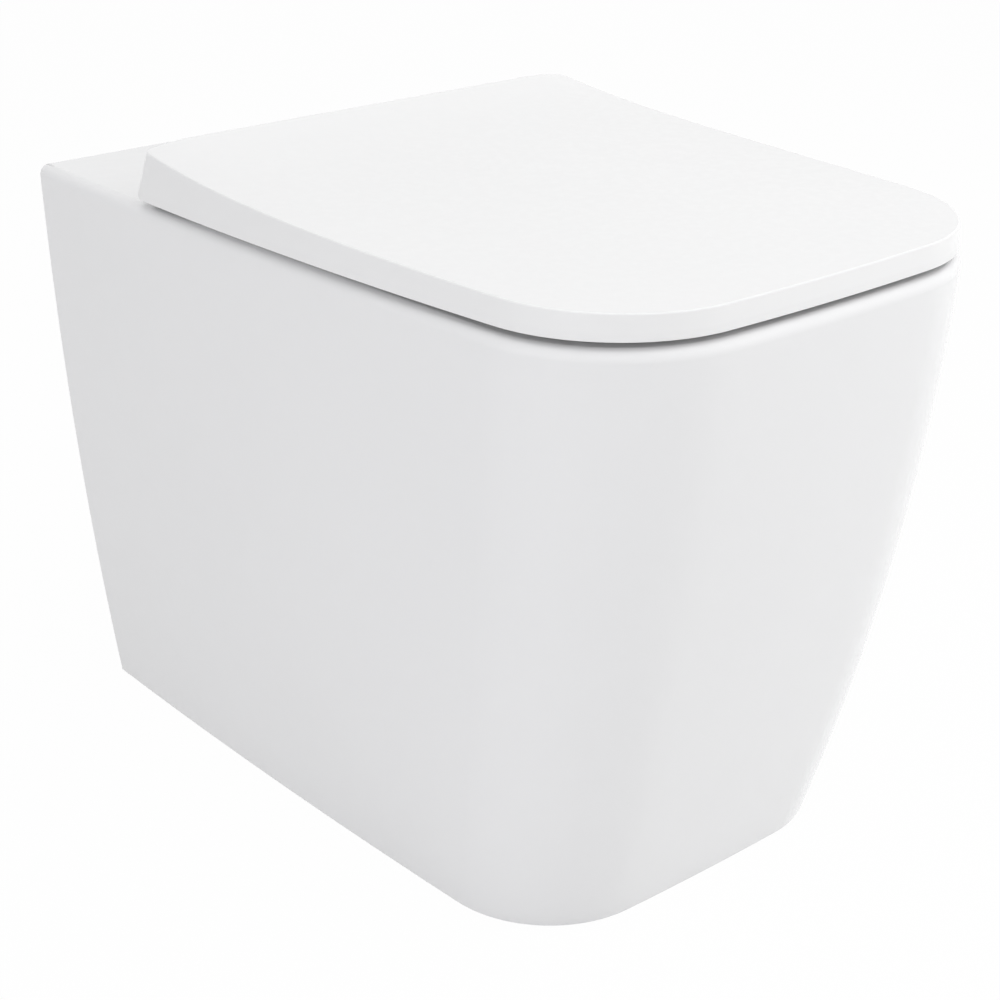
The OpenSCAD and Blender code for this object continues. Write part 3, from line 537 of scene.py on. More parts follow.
class Finish:
    """A material: its Principled shader and the nodes that vary it over the surface."""

    def __init__(self, name, colour, **uniform):
        self.colour = tuple(colour)
        self.material = bpy.data.materials.new(name)
        self.material.use_nodes = True
        self.tree = self.material.node_tree
        self.shader = self.tree.nodes["Principled BSDF"]
        self.put("Base Color", colour)
        for socket, number in uniform.items():
            self.put(socket.replace("_", " ").title().replace("Ior", "IOR"), number)

    def put(self, socket, term):
        """Sets or links one socket of the shader."""
        plug(self.tree, self.shader.inputs[socket], term)

    def node(self, kind, settings=None, inputs=None, output=0):
        """Any node: its settings first, then its sockets. Returns one output."""
        made = self.tree.nodes.new(kind)
        for name, value in (settings or {}).items():
            setattr(made, name, value)
        for name, term in (inputs or {}).items():
            plug(self.tree, made.inputs[name], term)
        return Value(self.tree, made.outputs[output])

    def place(self):
        """The point on the piece at rest, in metres."""
        return self.node("ShaderNodeTexCoord", output="Object")

    def axes(self):
        """That point's three numbers."""
        split = self.tree.nodes.new("ShaderNodeSeparateXYZ")
        plug(self.tree, split.inputs[0], self.place())
        return [Value(self.tree, out) for out in split.outputs]

    def noise(self, scale, detail=2.0, vector=None, rough=0.5):
        """Fractal noise from 0 to 1, scale in cells a metre."""
        vector = vector or self.place()
        inputs = {"Vector": vector, "Scale": scale, "Detail": detail, "Roughness": rough}
        return self.node("ShaderNodeTexNoise", None, inputs)

    def spread(self, value, low, high, to_low, to_high):
        """A value moved from one range into another, held at its ends."""
        ends = {"From Min": low, "From Max": high, "To Min": to_low, "To Max": to_high}
        settings = {"interpolation_type": "SMOOTHSTEP"}
        return self.node("ShaderNodeMapRange", settings, {"Value": value, **ends})

    def blend(self, factor, first, second):
        """A colour between two."""
        mix = self.tree.nodes.new("ShaderNodeMix")
        mix.data_type = "RGBA"
        for index, term in ((0, factor), (6, first), (7, second)):
            plug(self.tree, mix.inputs[index], term)
        return Value(self.tree, mix.outputs[2])

    def vector(self, x, y, z):
        """A vector from three numbers."""
        return self.node("ShaderNodeCombineXYZ", None, {"X": x, "Y": y, "Z": z})

    def tone(self, mask, first, second):
        """Base colour from one share of the finish's colour to another, by a mask."""
        shades = [tuple(min(1.0, c * share) for c in self.colour) for share in (first, second)]
        self.put("Base Color", self.blend(mask, *shades))

    def gloss(self, mask, low, high, start=0.3, end=0.7):
        """Roughness from low to high as a mask goes from start to end."""
        self.put("Roughness", self.spread(mask, start, end, low, high))

    def bump(self, height, depth, strength=1.0):
        """Relief of a depth in metres for a height from 0 to 1."""
        inputs = {"Height": height, "Distance": depth, "Strength": strength}
        self.put("Normal", self.node("ShaderNodeBump", None, inputs))


def make_finishes(colours):
    """All the finishes of the part, by name."""
    made = {}

    # Vitreous glaze: an even white with faint pooling, and a slow ripple in its gloss.
    glaze = Finish(
        "china glaze", colours.glaze, ior=1.5, coat_weight=0.5, coat_roughness=0.03, coat_ior=1.5
    )
    glaze.tone(glaze.noise(5.0, 3.0), 0.988, 1.012)
    glaze.gloss(glaze.noise(60.0, 3.0), 0.13, 0.20)
    slow, quick, fine = (glaze.noise(scale, 1.0) for scale in (16.0, 90.0, 900.0))
    glaze.bump(slow * 0.8 + quick * 0.12 + fine * 0.012, 0.00035)
    made["glaze"] = glaze

    # Inside the skirt the glaze is thin, so the clay shows through in patches.
    biscuit = Finish("china biscuit", colours.biscuit, ior=1.45)
    patch = biscuit.spread(biscuit.noise(11.0, 4.0, rough=0.6), 0.38, 0.62, 0.0, 1.0)
    biscuit.tone(patch, 1.0, 1.13)
    biscuit.gloss(patch, 0.68, 0.34, 0.0, 1.0)
    grain = biscuit.noise(420.0, 4.0, rough=0.65) + biscuit.noise(30.0, 2.0) * 0.6
    biscuit.bump(grain, 0.00022)
    made["biscuit"] = biscuit

    # Pressed thermoset: glossy, with the faintest orange peel.
    seat = Finish("seat thermoset", colours.seat, ior=1.52, coat_weight=0.25, coat_roughness=0.05)
    seat.tone(seat.noise(7.0, 2.0), 0.992, 1.008)
    seat.gloss(seat.noise(150.0, 3.0), 0.17, 0.24)
    peel = seat.noise(24.0, 1.0) * 0.7 + seat.noise(380.0, 1.0) * 0.03
    seat.bump(peel, 0.0002)
    made["seat"] = seat

    # Turned stainless steel: fine rings round each hinge post.
    turned = Finish("turned steel", colours.steel, metallic=1.0)
    x, y, z = turned.axes()
    ring = ((abs(x) - POST_X) ** 2.0 + (y - POST_Y) ** 2.0) ** 0.5
    lines = turned.noise(1.0, 2.0, turned.vector(ring * 9000.0, z * 9000.0, 0.0))
    turned.gloss(lines, 0.2, 0.4)
    turned.bump(lines, 0.00003)
    made["turned"] = turned

    # Rolled threads: 1 mm pitch on the upright studs, 1.25 mm on the level clamp bolts.
    made["stud thread"] = thread_finish("stud thread", colours.steel, 2, 1 * MM)
    made["bolt thread"] = thread_finish("bolt thread", colours.zinc, 1, 1.25 * MM)

    # Drawn steel of pins and dampers: fine lines along X.
    drawn = Finish("drawn steel", colours.steel, metallic=1.0)
    x, y, z = drawn.axes()
    lines = drawn.noise(1.0, 3.0, drawn.vector(x * 60.0, y * 5200.0, z * 5200.0))
    drawn.gloss(lines, 0.15, 0.34)
    drawn.bump(lines, 0.00002)
    made["drawn"] = drawn

    # Zinc plate: soft spangle and a few duller patches.
    zinc = Finish("zinc plate", colours.zinc, metallic=1.0)
    cells = {"Vector": zinc.place(), "Scale": 420.0}
    spangle = zinc.node("ShaderNodeTexVoronoi", {"feature": "F1"}, cells)
    dull = zinc.spread(zinc.noise(45.0, 3.0), 0.35, 0.7, 0.0, 1.0)
    zinc.tone(dull, 1.08, 0.82)
    zinc.put("Roughness", zinc.spread(spangle, 0.0, 0.8, 0.3, 0.5) + dull * 0.12)
    zinc.bump(spangle, 0.00004)
    made["zinc"] = zinc

    # Moulded polymer: a fine spark texture and cloudy gloss.
    polymer = Finish("moulded polymer", colours.polymer, ior=1.46)
    cloud = polymer.noise(120.0, 3.0)
    polymer.tone(cloud, 0.96, 1.04)
    polymer.gloss(cloud, 0.36, 0.5)
    polymer.bump(polymer.noise(2600.0, 3.0, rough=0.6), 0.00005)
    made["polymer"] = polymer

    # Black rubber: matt, with bloom in patches.
    rubber = Finish("black rubber", colours.rubber, ior=1.5, specular_ior_level=0.35)
    bloom = rubber.spread(rubber.noise(70.0, 4.0), 0.42, 0.68, 0.0, 1.0)
    rubber.tone(bloom, 1.0, 2.2)
    rubber.gloss(bloom, 0.58, 0.82, 0.0, 1.0)
    rubber.bump(rubber.noise(1500.0, 3.0), 0.00008)
    made["rubber"] = rubber

    # Soft pads: clear elastomer that scatters a little light.
    pad = Finish(
        "soft pad", colours.pad, ior=1.43, transmission_weight=0.25,
        subsurface_weight=0.3, subsurface_scale=2 * MM,
    )
    haze = pad.noise(260.0, 3.0)
    pad.tone(haze, 0.94, 1.05)
    pad.gloss(haze, 0.3, 0.46)
    pad.bump(pad.noise(1200.0, 2.0), 0.00004)
    made["pad"] = pad
    return {name: finish.material for name, finish in made.items()}


def thread_finish(name, colour, axis, pitch):
    """Steel with a rolled thread along one axis, from rings at its pitch, with painted shade
    darkening its valleys.
    """
    made = Finish(name, colour, metallic=1.0)
    turn = made.axes()[axis] * (2 * math.pi / pitch)
    ridge = turn.math("SINE", turn) * 0.5 + 0.5
    # Painted shade: the base colour falls to 0.6 of the steel's colour in the thread's valleys.
    made.tone(ridge, 0.6, 1.0)
    made.gloss(ridge, 0.5, 0.24, 0.0, 1.0)
    made.bump(ridge, pitch * 0.5)
    return made


# ---------- pieces ----------


def pan_outline(sizes, t, grow=0.0, rear=0.0):
    """Outline of the pan at a share of its height."""

    def bowed(low, high, bow):
        return low + (high - low) * t + 4 * bow * t * (1 - t)

    swell = sizes.foot_swell + (sizes.rim_swell - sizes.foot_swell) * t
    half = bowed(sizes.foot_width / 2, sizes.rim_width / 2, sizes.side_bow) + swell
    front = bowed(sizes.foot_depth, sizes.rim_depth, sizes.front_bow)
    corner = sizes.foot_corner + (sizes.rim_corner - sizes.foot_corner) * t
    nose = sizes.foot_nose + (sizes.rim_nose - sizes.foot_nose) * t
    return plan(half, front, rear, swell, corner, nose, sizes.widest_at, grow)


def pan_outside(sizes, levels=56):
    """Tapered outside of the pan up to its rounded rim."""
    straight = DECK_Z - sizes.rim_edge
    loops = [at(pan_outline(sizes, z / DECK_Z), z) for z in np.linspace(0, straight, levels + 1)]
    for turn in np.linspace(0, math.pi / 2, EDGE_STEPS + 1)[1:]:
        z = straight + sizes.rim_edge * math.sin(turn)
        rise = max(z - DECK_Z + sizes.deck_edge, 0)
        rear = sizes.deck_edge - math.sqrt(max(sizes.deck_edge**2 - rise**2, 0))
        grow = sizes.rim_edge * (math.cos(turn) - 1)
        loops.append(at(pan_outline(sizes, z / DECK_Z, grow, rear), z))
    return loft("outside", loops)


def pan_hollow(sizes, levels=30):
    """Space inside the skirt, open at the floor and at the wall."""
    loops = []
    for z in np.linspace(-OVER, DECK_Z - sizes.deck, levels + 1):
        loops.append(at(pan_outline(sizes, max(z, 0) / DECK_Z, -sizes.skirt, -OVER), z))
    return loft("hollow", loops)


def bowl_loop(sizes, q, grow=0.0, z=None, points=160):
    """Level loop of the bowl at a share of its height above the sump."""

    def ease(power):
        return (1 - math.cos(math.pi * q**power)) / 2

    sump = sizes.trap_bore + 1 * MM
    half = sump + (sizes.bowl_width / 2 - sump) * ease(SIDE_OPENS) + grow
    front = sizes.sump_at + sump + (sizes.bowl_front - sizes.sump_at - sump) * ease(FRONT_OPENS)
    rear = sizes.sump_at - sump + (sizes.bowl_rear - sizes.sump_at + sump) * ease(SIDE_OPENS)
    turn = np.linspace(0, 2 * math.pi, points, endpoint=False)
    square = ROUND + EXTRA_SQUARE * ease(SIDE_OPENS)
    far = superellipse(turn, half, (front - rear) / 2 + grow, square)
    mid = WALL_Y - (front + rear) / 2
    if z is None:
        z = sizes.sump_height + (DECK_Z - sizes.sump_height) * q
    return at(np.column_stack((far * np.cos(turn), mid + far * np.sin(turn))), z)


def bowl_inside(sizes, levels=44):
    """Space inside the bowl, with its mouth rounded outward."""
    deep = DECK_Z - sizes.sump_height
    edge = sizes.mouth_edge
    loops = [bowl_loop(sizes, q) for q in np.linspace(0, 1 - edge / deep, levels + 1)]
    for turn in np.linspace(0, math.pi / 2, EDGE_STEPS + 1)[1:]:
        z = DECK_Z - edge + edge * math.sin(turn)
        grow = edge * (1 - math.cos(turn))
        loops.append(bowl_loop(sizes, (z - sizes.sump_height) / deep, grow, z))
    loops.append(bowl_loop(sizes, 1, edge, DECK_Z + OVER))
    return loft("bowl", loops)


def trap_path(sizes, extra):
    """Centre line of the trap, from the sump's end to the outlet."""
    y = WALL_Y - sizes.sump_at
    dip, crest = sizes.dip_bend, sizes.crest_bend
    path = [(0, y, sizes.sump_height + extra)]
    for turn in np.linspace(math.pi, 2 * math.pi, DIP_POINTS):
        path.append((0, y + dip + dip * math.cos(turn), sizes.dip_height + dip * math.sin(turn)))
    up, level_z = y + 2 * dip + crest, sizes.outlet_height - crest
    for turn in np.linspace(math.pi, math.pi / 2, CREST_POINTS):
        path.append((0, up + crest * math.cos(turn), level_z + crest * math.sin(turn)))
    path.append((0, WALL_Y - sizes.outlet_end + extra, sizes.outlet_height))
    return path


def make_pan(sizes, finishes):
    """The china pan, cut and joined as its construction node is, but smooth."""
    biscuit = finishes["biscuit"]
    wall, bowl, thick = sizes.horn_wall, sizes.bowl_wall, sizes.lug_thickness
    pan = Casting("china_pan", pan_outside(sizes), finishes["glaze"])
    pan.cut(pan_hollow(sizes), biscuit)
    top = 1 - sizes.deck / 2 / (DECK_Z - sizes.sump_height)
    shell = [bowl_loop(sizes, q, bowl) for q in np.linspace(0, top, 30)]
    pan.join(loft("bowl shell", shell), biscuit)
    pan.join(tube("trap", trap_path(sizes, 0), sizes.trap_bore + sizes.trap_wall), biscuit)
    spigot = (sizes.outlet_end, sizes.outlet_end + sizes.outlet_length)
    pan.join(along_y(0, sizes.outlet_height, sizes.outlet_radius, *spigot), biscuit)
    horn, socket = sizes.horn_end, sizes.horn_end + sizes.socket_length
    pan.join(along_y(0, INLET_Z, sizes.socket_radius + wall, horn, socket + wall), biscuit)
    pan.join(along_y(0, INLET_Z, sizes.passage + wall, socket, sizes.bowl_rear + bowl), biscuit)
    web = (WALL_Y - sizes.bowl_rear, WALL_Y - horn - wall, INLET_Z, DECK_Z - sizes.deck / 2)
    pan.join(block(-wall, wall, *web), biscuit)
    skirt_x = (sizes.foot_width + sizes.foot_swell) / 2 - sizes.skirt / 4
    lug_y = (WALL_Y - sizes.lug_at - thick, WALL_Y - sizes.lug_at)
    for side in SIDES:
        lug_x = (side * (sizes.clamp_pitch / 2 - LUG_HALF), side * skirt_x)
        pan.join(block(*lug_x, *lug_y, LUG_LOW, CLAMP_Z + LUG_RISE), biscuit)
    pan.cut(bowl_inside(sizes))
    pan.cut(tube("waterway", trap_path(sizes, OVER), sizes.trap_bore))
    pan.cut(along_y(0, INLET_Z, sizes.socket_radius, horn - OVER, socket), biscuit)
    pan.cut(along_y(0, INLET_Z, sizes.passage, socket - OVER, sizes.bowl_rear + 2 * bowl))
    hole_z = (DECK_Z - sizes.deck - OVER, DECK_Z + OVER)
    clamp_y = (sizes.lug_at - OVER, sizes.lug_at + thick + OVER)
    for side in SIDES:
        pan.cut(upright(side * POST_X, POST_Y, *hole_z, sizes.fixing_hole), biscuit)
        clamp_x = side * sizes.clamp_pitch / 2
        pan.cut(along_y(clamp_x, CLAMP_Z, sizes.clamp_hole, *clamp_y), biscuit)
    piece = pan.finish(CHINA_SHARP)
    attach(piece, "pan")
    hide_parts("pan")
    return piece


def lid_top(seat, reach, x=0.0):
    """Height of the lid's top at a reach and a distance from the middle."""
    start = seat.rear + seat.lean
    f = (reach - start) / (seat.front - start)
    rise = seat.rear_height - seat.front_height - seat.fall
    side = np.clip((abs(x) - lid_high.x) / seat.fall_width + 1, 0, 1)
    corner = seat.corner_fall * side**2 * np.exp(-(reach - start) / seat.fall_length)
    top = DECK_Z + seat.front_height + rise * np.exp(-f / seat.rise_share)
    return top + seat.fall * (1 - f) - corner


def seat_outline(scene, grow, rear, rear_round, rear_steps=1, fine=2):
    """Outline of the seat at an offset from the lid's outer edge."""
    seat, widest = scene.toilet_seat, scene.toilet_pan.widest_at
    return plan(
        seat.width / 2, seat.front, rear, seat.swell, seat.corner, seat.front_radius, widest,
        grow, rear_round, rear_steps, fine,
    )


def under_top(seat, outline, depth):
    """An outline laid at a depth under the lid's top."""
    x, y = outline[:, 0], outline[:, 1]
    return np.column_stack((x, y, lid_top(seat, WALL_Y - y, x) - depth))


def lid_shell(scene):
    """The lid's top, turned down edge and hollow underside as one closed mesh."""
    seat = scene.toilet_seat
    t, edge, draft = seat.skirt, seat.edge, seat.draft
    low, top_rear = DECK_Z + seat.gap, seat.rear + seat.lean
    inner = seat.rear + seat.heel + 2 * MM
    low_corner, top_corner = 5 * MM, seat.rear_corner

    def line(grow, rear, rear_round):
        return seat_outline(scene, grow, rear, rear_round, ROW_STEPS)

    def surface(depth):
        return lambda x, y: lid_top(seat, WALL_Y - y, x) - depth

    def heel(height):
        """Reach of the leaning rear face at a height above the bottom, rounded at its heel."""
        lean = seat.lean * height / (seat.rear_height - seat.gap)
        left = max(seat.heel - height, 0)
        return seat.rear + lean + seat.heel - math.sqrt(seat.heel**2 - left**2)

    loops = []
    # Inside the skirt, from the panel down: millimetres inward, towards the wall, and deeper.
    for inward, back, deeper in ((1, 0, 0), (0.4, 0.1, 0.4), (0, 0.5, 1.5)):
        inside = line(-t - draft - inward * MM, top_rear + t - back * MM, 2 * MM)
        loops.append(under_top(seat, inside, seat.panel + deeper * MM))
    # Its bottom edge, inside: millimetres outward, corner radius, and above the bottom.
    for out, corner, above in ((0, 2, 0.6), (0.2, 2.2, 0.17), (0.6, 2.5, 0)):
        loops.append(at(line(-t + out * MM, inner - out * MM, corner * MM), low + above * MM))
    for turn in np.linspace(0, math.pi / 2, LIP_STEPS):
        inward, height = seat.low_edge * (1 - math.sin(turn)), seat.low_edge * (1 - math.cos(turn))
        loops.append(at(line(-inward, heel(height), low_corner), low + height))
    for turn in np.linspace(HEEL_START, math.pi / 2, HEEL_STEPS):
        height = seat.heel * (1 - math.cos(turn))
        inward = 0.1 * MM * height / seat.heel
        loops.append(at(line(-inward, heel(height), low_corner), low + height))
    for turn in np.linspace(0, math.pi / 2, TOP_STEPS):
        inward, drop = edge * (1 - math.cos(turn)), edge * (1 - math.sin(turn))
        outside = line(-draft - inward, top_rear + inward, top_corner - inward)
        loops.append(under_top(seat, outside, drop))
    outside = line(-draft - edge - 0.4 * MM, top_rear + edge + 0.4 * MM, top_corner - edge)
    loops.append(under_top(seat, outside, 0))
    return loft("lid", loops, "rows", ROW_STEPS, (surface(seat.panel), surface(0)))


def damper_bores(seat, low, high):
    """Both bores for a damper or bush, between two distances from the middle."""
    radius = (damper_high.z - damper_low.z) / 2 + seat.fit / 2
    return together(*(along_x(s * low, s * high, HINGE_Y, HINGE_Z, radius) for s in SIDES))


def pad_pocket(seat, x, reach):
    """Pocket for one round pad in the lid's underside."""
    under = lid_top(seat, reach) - seat.panel
    return upright(x, WALL_Y - reach, under - OVER, under + LID_POCKET, POCKET_RADIUS)


def make_lid(scene, finishes):
    """The lid with its hinge barrels, smooth."""
    seat = scene.toilet_seat
    lug_in, lug_out = damper_low.x - seat.slack, damper_high.x + seat.slack
    ring_in = bush_low.x - seat.slack
    rear_y = WALL_Y - seat.rear + OVER
    low = DECK_Z + seat.gap - OVER
    behind = HINGE_Y - seat.barrel - OVER
    lid = Casting("lid_moulding", lid_shell(scene), finishes["seat"])
    roof = lid_top(seat, WALL_Y - behind) - seat.panel
    for side in SIDES:
        start, lug, end = (side * x for x in (ring_in - seat.slack, lug_in, lug_out + seat.slack))
        lid.cut(block(start, end, HINGE_Y - OVER, rear_y, low, HINGE_Z - seat.barrel))
        lid.cut(block(start, lug, behind, rear_y, low, roof))
    web_top = lid_top(seat, WALL_Y - HINGE_Y + seat.barrel) - seat.panel + OVER
    web = (HINGE_Y - seat.barrel, HINGE_Y + seat.barrel / 2, HINGE_Z, web_top)
    lid.join_barrels(seat, lug_in, lug_out, web)
    lid.cut(damper_bores(seat, lug_in - OVER, lug_out + seat.slack))
    places = [(side * x * MM, reach * MM) for side in SIDES for x, reach in LID_PADS]
    lid.cut(together(*(pad_pocket(seat, *place) for place in places)))
    piece = lid.finish(SEAT_SHARP)
    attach(piece, "cover")
    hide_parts("lid")
    return piece


def hole_points(seat, points, grow):
    """The ring's opening, one point along the line from its centre through each point given."""
    mid = WALL_Y - (seat.hole_front + seat.hole_rear) / 2
    half, long = seat.hole_width / 2 + grow, (seat.hole_front - seat.hole_rear) / 2 + grow
    turn = np.arctan2(points[:, 1] - mid, points[:, 0])
    far = superellipse(turn, half, long, HOLE_SQUARE)
    return np.column_stack((far * np.cos(turn), mid + far * np.sin(turn)))


def ring_blank(scene):
    """The seat ring before its hinge end is cut."""
    seat = scene.toilet_seat
    low = DECK_Z + seat.ring_lift
    drop = seat.panel + seat.pad_gap

    def line(inward, rear):
        """Outline at millimetres inward of the ring's side and forward of its rear."""
        grow = -seat.skirt - seat.ring_gap - inward * MM
        return seat_outline(scene, grow, seat.ring_rear + rear * MM, RING_CORNER, RING_STEPS)

    near = line(4, 3)
    wide = hole_points(seat, near, HOLE_EDGE)
    # Outside: millimetres inward, forward, and above the underside or below the top.
    foot = ((2, 1.5, 0), (0.6, 0.5, 0.6), (0, 0, 2))
    loops = [at(line(a, b), low + up * MM) for a, b, up in foot]
    for a, b, down in ((1.2, 0.5, 3), (1.9, 1.1, 1.3), (2.8, 1.9, 0.35)):
        loops.append(under_top(seat, line(a, b), drop + down * MM))
    for share in np.linspace(0, 1, DISH_STEPS):
        dip = DISH * share**DISH_POWER
        loops.append(under_top(seat, near * (1 - share) + wide * share, drop + dip))
    for turn in np.linspace(0, 1, HOLE_STEPS)[1:] * math.pi / 2:
        edge = hole_points(seat, near, HOLE_EDGE * (1 - math.sin(turn)))
        loops.append(under_top(seat, edge, drop + DISH + HOLE_DROP * (1 - math.cos(turn))))
    # Inside: millimetres outward and above the underside.
    for out, up in ((0, 1), (0.3, 0.3), (1, 0)):
        loops.append(at(hole_points(seat, near, out * MM), low + up * MM))
    return loft("ring", loops, "ring")


def ring_pocket(x, reach):
    """Pocket for one long pad under the ring."""
    turn = np.linspace(0, math.pi, 25)
    x_out, y_out = POCKET_RADIUS * np.cos(turn), POCKET_HALF + POCKET_RADIUS * np.sin(turn)
    end = np.column_stack((x_out, y_out))
    outline = np.vstack((end, -end)) + (x, WALL_Y - reach)
    return loft("pocket", [at(outline, ring_low.z - OVER), at(outline, ring_low.z + RING_POCKET)])


def make_ring(scene, finishes):
    """The seat ring with its hinge barrels, smooth."""
    seat = scene.toilet_seat
    lug_in, lug_out = bush_low.x - seat.slack, bush_high.x + seat.slack
    lid_lug = damper_low.x - seat.slack
    rear_top = lid_top(seat, seat.ring_rear) - seat.panel - seat.pad_gap - 1 * MM
    arm_top = min(rear_top, HINGE_Z + seat.barrel)
    arm = (WALL_Y - seat.ring_rear - ARM_OVERLAP, HINGE_Y, HINGE_Z - seat.barrel, arm_top)
    ring = Casting("ring_moulding", ring_blank(scene), finishes["seat"])
    ring.join_barrels(seat, lug_in, lug_out, arm)
    ring.cut(damper_bores(seat, lug_in - OVER, lug_out + OVER))
    notch_y = (HINGE_Y - NOTCH_LENGTH, WALL_Y - seat.ring_rear + OVER)
    notch = (*notch_y, ring_low.z - OVER, DECK_Z + seat.rear_height)
    ring.cut(together(*(block(side * lug_out, side * lid_lug, *notch) for side in SIDES)))
    places = [(side * x * MM, reach * MM) for side in SIDES for x, reach in RING_PADS]
    ring.cut(together(*(ring_pocket(*place) for place in places)))
    piece = ring.finish(SEAT_SHARP)
    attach(piece, "seat")
    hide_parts("seat_ring")
    return piece


# ---------- studio ----------


def plain_rays(tree):
    """One for a ray from the camera, a reflection or through glass, nothing for the rest."""
    rays = tree.nodes.new("ShaderNodeLightPath")
    kinds = ("Camera", "Glossy", "Transmission")
    camera, glossy, through = (Value(tree, rays.outputs[f"Is {kind} Ray"]) for kind in kinds)
    return camera.math("MAXIMUM", camera.math("MAXIMUM", camera, glossy), through)


def make_floor(studio):
    """A pale floor that reads as white and keeps the part's shadow."""
    corners = [(x * FLOOR_HALF, y * FLOOR_HALF, 0) for x, y in ((-1, -1), (1, -1), (1, 1), (-1, 1))]
    mesh = bpy.data.meshes.new("floor")
    mesh.from_pydata(corners, [], [(0, 1, 2, 3)])
    floor = link("floor", mesh)
    finish = Finish("studio floor", (0.8, 0.8, 0.8), roughness=0.9)
    tree = finish.tree
    white = finish.node("ShaderNodeEmission", None, {"Color": WHITE, "Strength": 1.0})
    lit = Value(tree, finish.shader.outputs[0])
    sockets = {0: plain_rays(tree) * studio.floor_white, 1: lit, 2: white}
    mix = finish.node("ShaderNodeMixShader", None, sockets)
    tree.links.new(mix.socket, tree.nodes["Material Output"].inputs[0])
    mesh.materials.append(finish.material)


def make_world(studio):
    """White to the camera and in reflections, an even sky to the surfaces."""
    world = bpy.data.worlds.new("studio")
    bpy.context.scene.world = world
    world.use_nodes = True
    tree = world.node_tree
    tree.nodes.clear()
    light = tree.nodes.new("ShaderNodeBackground")
    plug(tree, light.inputs["Color"], WHITE)
    plug(tree, light.inputs["Strength"], plain_rays(tree) * (1.0 - studio.sky) + studio.sky)
    out = tree.nodes.new("ShaderNodeOutputWorld")
    tree.links.new(light.outputs[0], out.inputs[0])


def facing(name, data, target, azimuth, elevation, distance):
    """A camera or lamp at a distance from a point, looking at it."""
    made = link(name, data)
    level_y, level_x = -math.cos(azimuth), math.sin(azimuth)
    flat = math.cos(elevation)
    back = Vector((level_x * flat, level_y * flat, math.sin(elevation)))
    made.location = Vector(target) + back * distance
    made.rotation_mode = "QUATERNION"
    made.rotation_quaternion = (-back).to_track_quat("-Z", "Y")
    return made


def add_lamp(name, power, azimuth, elevation, height, colour):
    """A large soft lamp that looks at the pan from a direction in degrees."""
    lamp = bpy.data.lights.new(name, "AREA")
    lamp.shape, lamp.size, lamp.size_y = "RECTANGLE", LAMP_WIDTH, height
    lamp.energy, lamp.color = power, colour
    turn, rise = math.radians(azimuth), math.radians(elevation)
    facing(name, lamp, LAMP_AIM, turn, rise, LAMP_DISTANCE).visible_glossy = False


def make_camera(studio):
    """The camera at the photograph's viewpoint."""
    data = bpy.data.cameras.new("camera")
    data.lens, data.sensor_width = studio.lens, 36.0
    data.clip_start, data.clip_end = 0.01, 60.0
    view = (studio.target, studio.azimuth, studio.elevation, studio.distance)
    bpy.context.scene.camera = facing("camera", data, *view)


# ---------- operators ----------

FINISHES = {}


def all_finishes(context):
    """Every finish by name, made on first use."""
    if not FINISHES:
        FINISHES.update(make_finishes(context.scene.toilet_finishes))
    return FINISHES


def coat(context, finish, *names):
    """Gives construction nodes a finish, smooth between their real edges."""
    for name in names:
        mesh = NODES[name].data
        mesh.materials.clear()
        mesh.materials.append(all_finishes(context)[finish])
        shade_smooth(mesh, FITTING_SHARP)


def both(*names):
    """Left and right names."""
    return [f"{name}_{side}" for name in names for side in ("left", "right")]


class TOILET_OT_studio(bpy.types.Operator):
    """Place the camera, lamps, floor and background"""

    bl_idname = "toilet.studio"
    bl_label = "Studio"

    def execute(self, context):
        studio = context.scene.toilet_studio
        context.scene.view_settings.view_transform = "Standard"
        make_camera(studio)
        make_world(studio)
        make_floor(studio)
        for name, place in LAMPS.items():
            colour = studio.cool if name == "left" else WHITE
            add_lamp(name, getattr(studio, name), *place, colour)
        return {"FINISHED"}


class TOILET_OT_pan(bpy.types.Operator):
    """Make the smooth china pan"""

    bl_idname = "toilet.pan"
    bl_label = "China Pan"

    def execute(self, context):
        make_pan(context.scene.toilet_pan, all_finishes(context))
        return {"FINISHED"}


class TOILET_OT_ring(bpy.types.Operator):
    """Make the smooth seat ring"""

    bl_idname = "toilet.ring"
    bl_label = "Seat Ring"

    def execute(self, context):
        make_ring(context.scene, all_finishes(context))
        return {"FINISHED"}


class TOILET_OT_lid(bpy.types.Operator):
    """Make the smooth lid"""

    bl_idname = "toilet.lid"
    bl_label = "Lid"

    def execute(self, context):
        make_lid(context.scene, all_finishes(context))
        return {"FINISHED"}


class TOILET_OT_pads(bpy.types.Operator):
    """Finish the pads, washers, sleeves and seal"""

    bl_idname = "toilet.pads"
    bl_label = "Pads and Seals"

    def execute(self, context):
        coat(context, "pad", "seat_buffers", "lid_buffers", *both("plate_gasket"))
        coat(context, "rubber", "inlet_seal", *both("expansion_sleeve"))
        return {"FINISHED"}


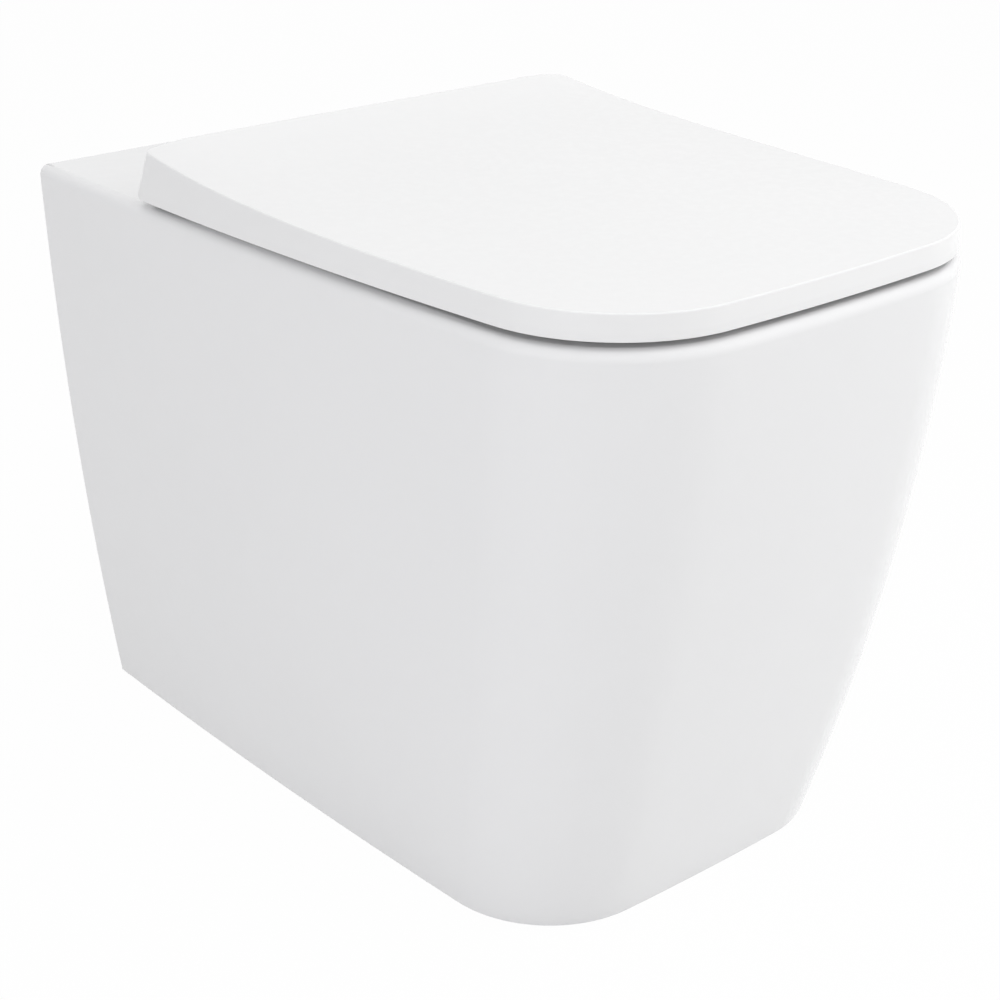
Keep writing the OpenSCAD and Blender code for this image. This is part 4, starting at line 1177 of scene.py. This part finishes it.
class TOILET_OT_hinges(bpy.types.Operator):
    """Finish the hinge pieces and release latches"""

    bl_idname = "toilet.hinges"
    bl_label = "Hinges"

    def execute(self, context):
        coat(context, "polymer", "ring_bush", "lid_bush", *both("hinge_body", "release_latch"))
        coat(context, "drawn", "ring_damper", "lid_damper", *both("hinge_pin"))
        coat(context, "turned", *both("hinge_post", "hinge_plate"))
        return {"FINISHED"}


class TOILET_OT_fixings(bpy.types.Operator):
    """Finish the studs, nuts, brackets and clamp bolts"""

    bl_idname = "toilet.fixings"
    bl_label = "Fixings"

    def execute(self, context):
        coat(context, "stud thread", *both("fixing_stud"))
        coat(context, "polymer", *both("cone_nut"))
        coat(context, "zinc", "clamp_washers", "clamp_nuts", *both("floor_bracket"))
        coat(context, "bolt thread", "clamp_bolts")
        return {"FINISHED"}


class TOILET_PT_panel(bpy.types.Panel):
    """Pieces of the toilet"""

    bl_idname = "TOILET_PT_panel"
    bl_label = "Back to Wall Toilet"
    bl_space_type = "VIEW_3D"
    bl_region_type = "UI"
    bl_category = "Toilet"

    def draw(self, context):
        for operator in OPERATORS:
            self.layout.operator(operator.bl_idname)


GROUPS = (
    ("toilet_pan", PanSizes),
    ("toilet_seat", SeatSizes),
    ("toilet_finishes", Finishes),
    ("toilet_studio", StudioSettings),
)
OPERATORS = (
    TOILET_OT_studio,
    TOILET_OT_pan,
    TOILET_OT_ring,
    TOILET_OT_lid,
    TOILET_OT_pads,
    TOILET_OT_hinges,
    TOILET_OT_fixings,
)


def register():
    """Registers the property groups, operators and panel."""
    for name, group in GROUPS:
        bpy.utils.register_class(group)
        setattr(bpy.types.Scene, name, PointerProperty(type=group))
    for operator in OPERATORS:
        bpy.utils.register_class(operator)
    bpy.utils.register_class(TOILET_PT_panel)


def unregister():
    """Takes them out again."""
    bpy.utils.unregister_class(TOILET_PT_panel)
    for operator in reversed(OPERATORS):
        bpy.utils.unregister_class(operator)
    for name, group in reversed(GROUPS):
        delattr(bpy.types.Scene, name)
        bpy.utils.unregister_class(group)


def main():
    """Makes every piece."""
    register()
    for operator in OPERATORS:
        area, name = operator.bl_idname.split(".")
        getattr(getattr(bpy.ops, area), name)()


if __name__ == "__main__":
    main()
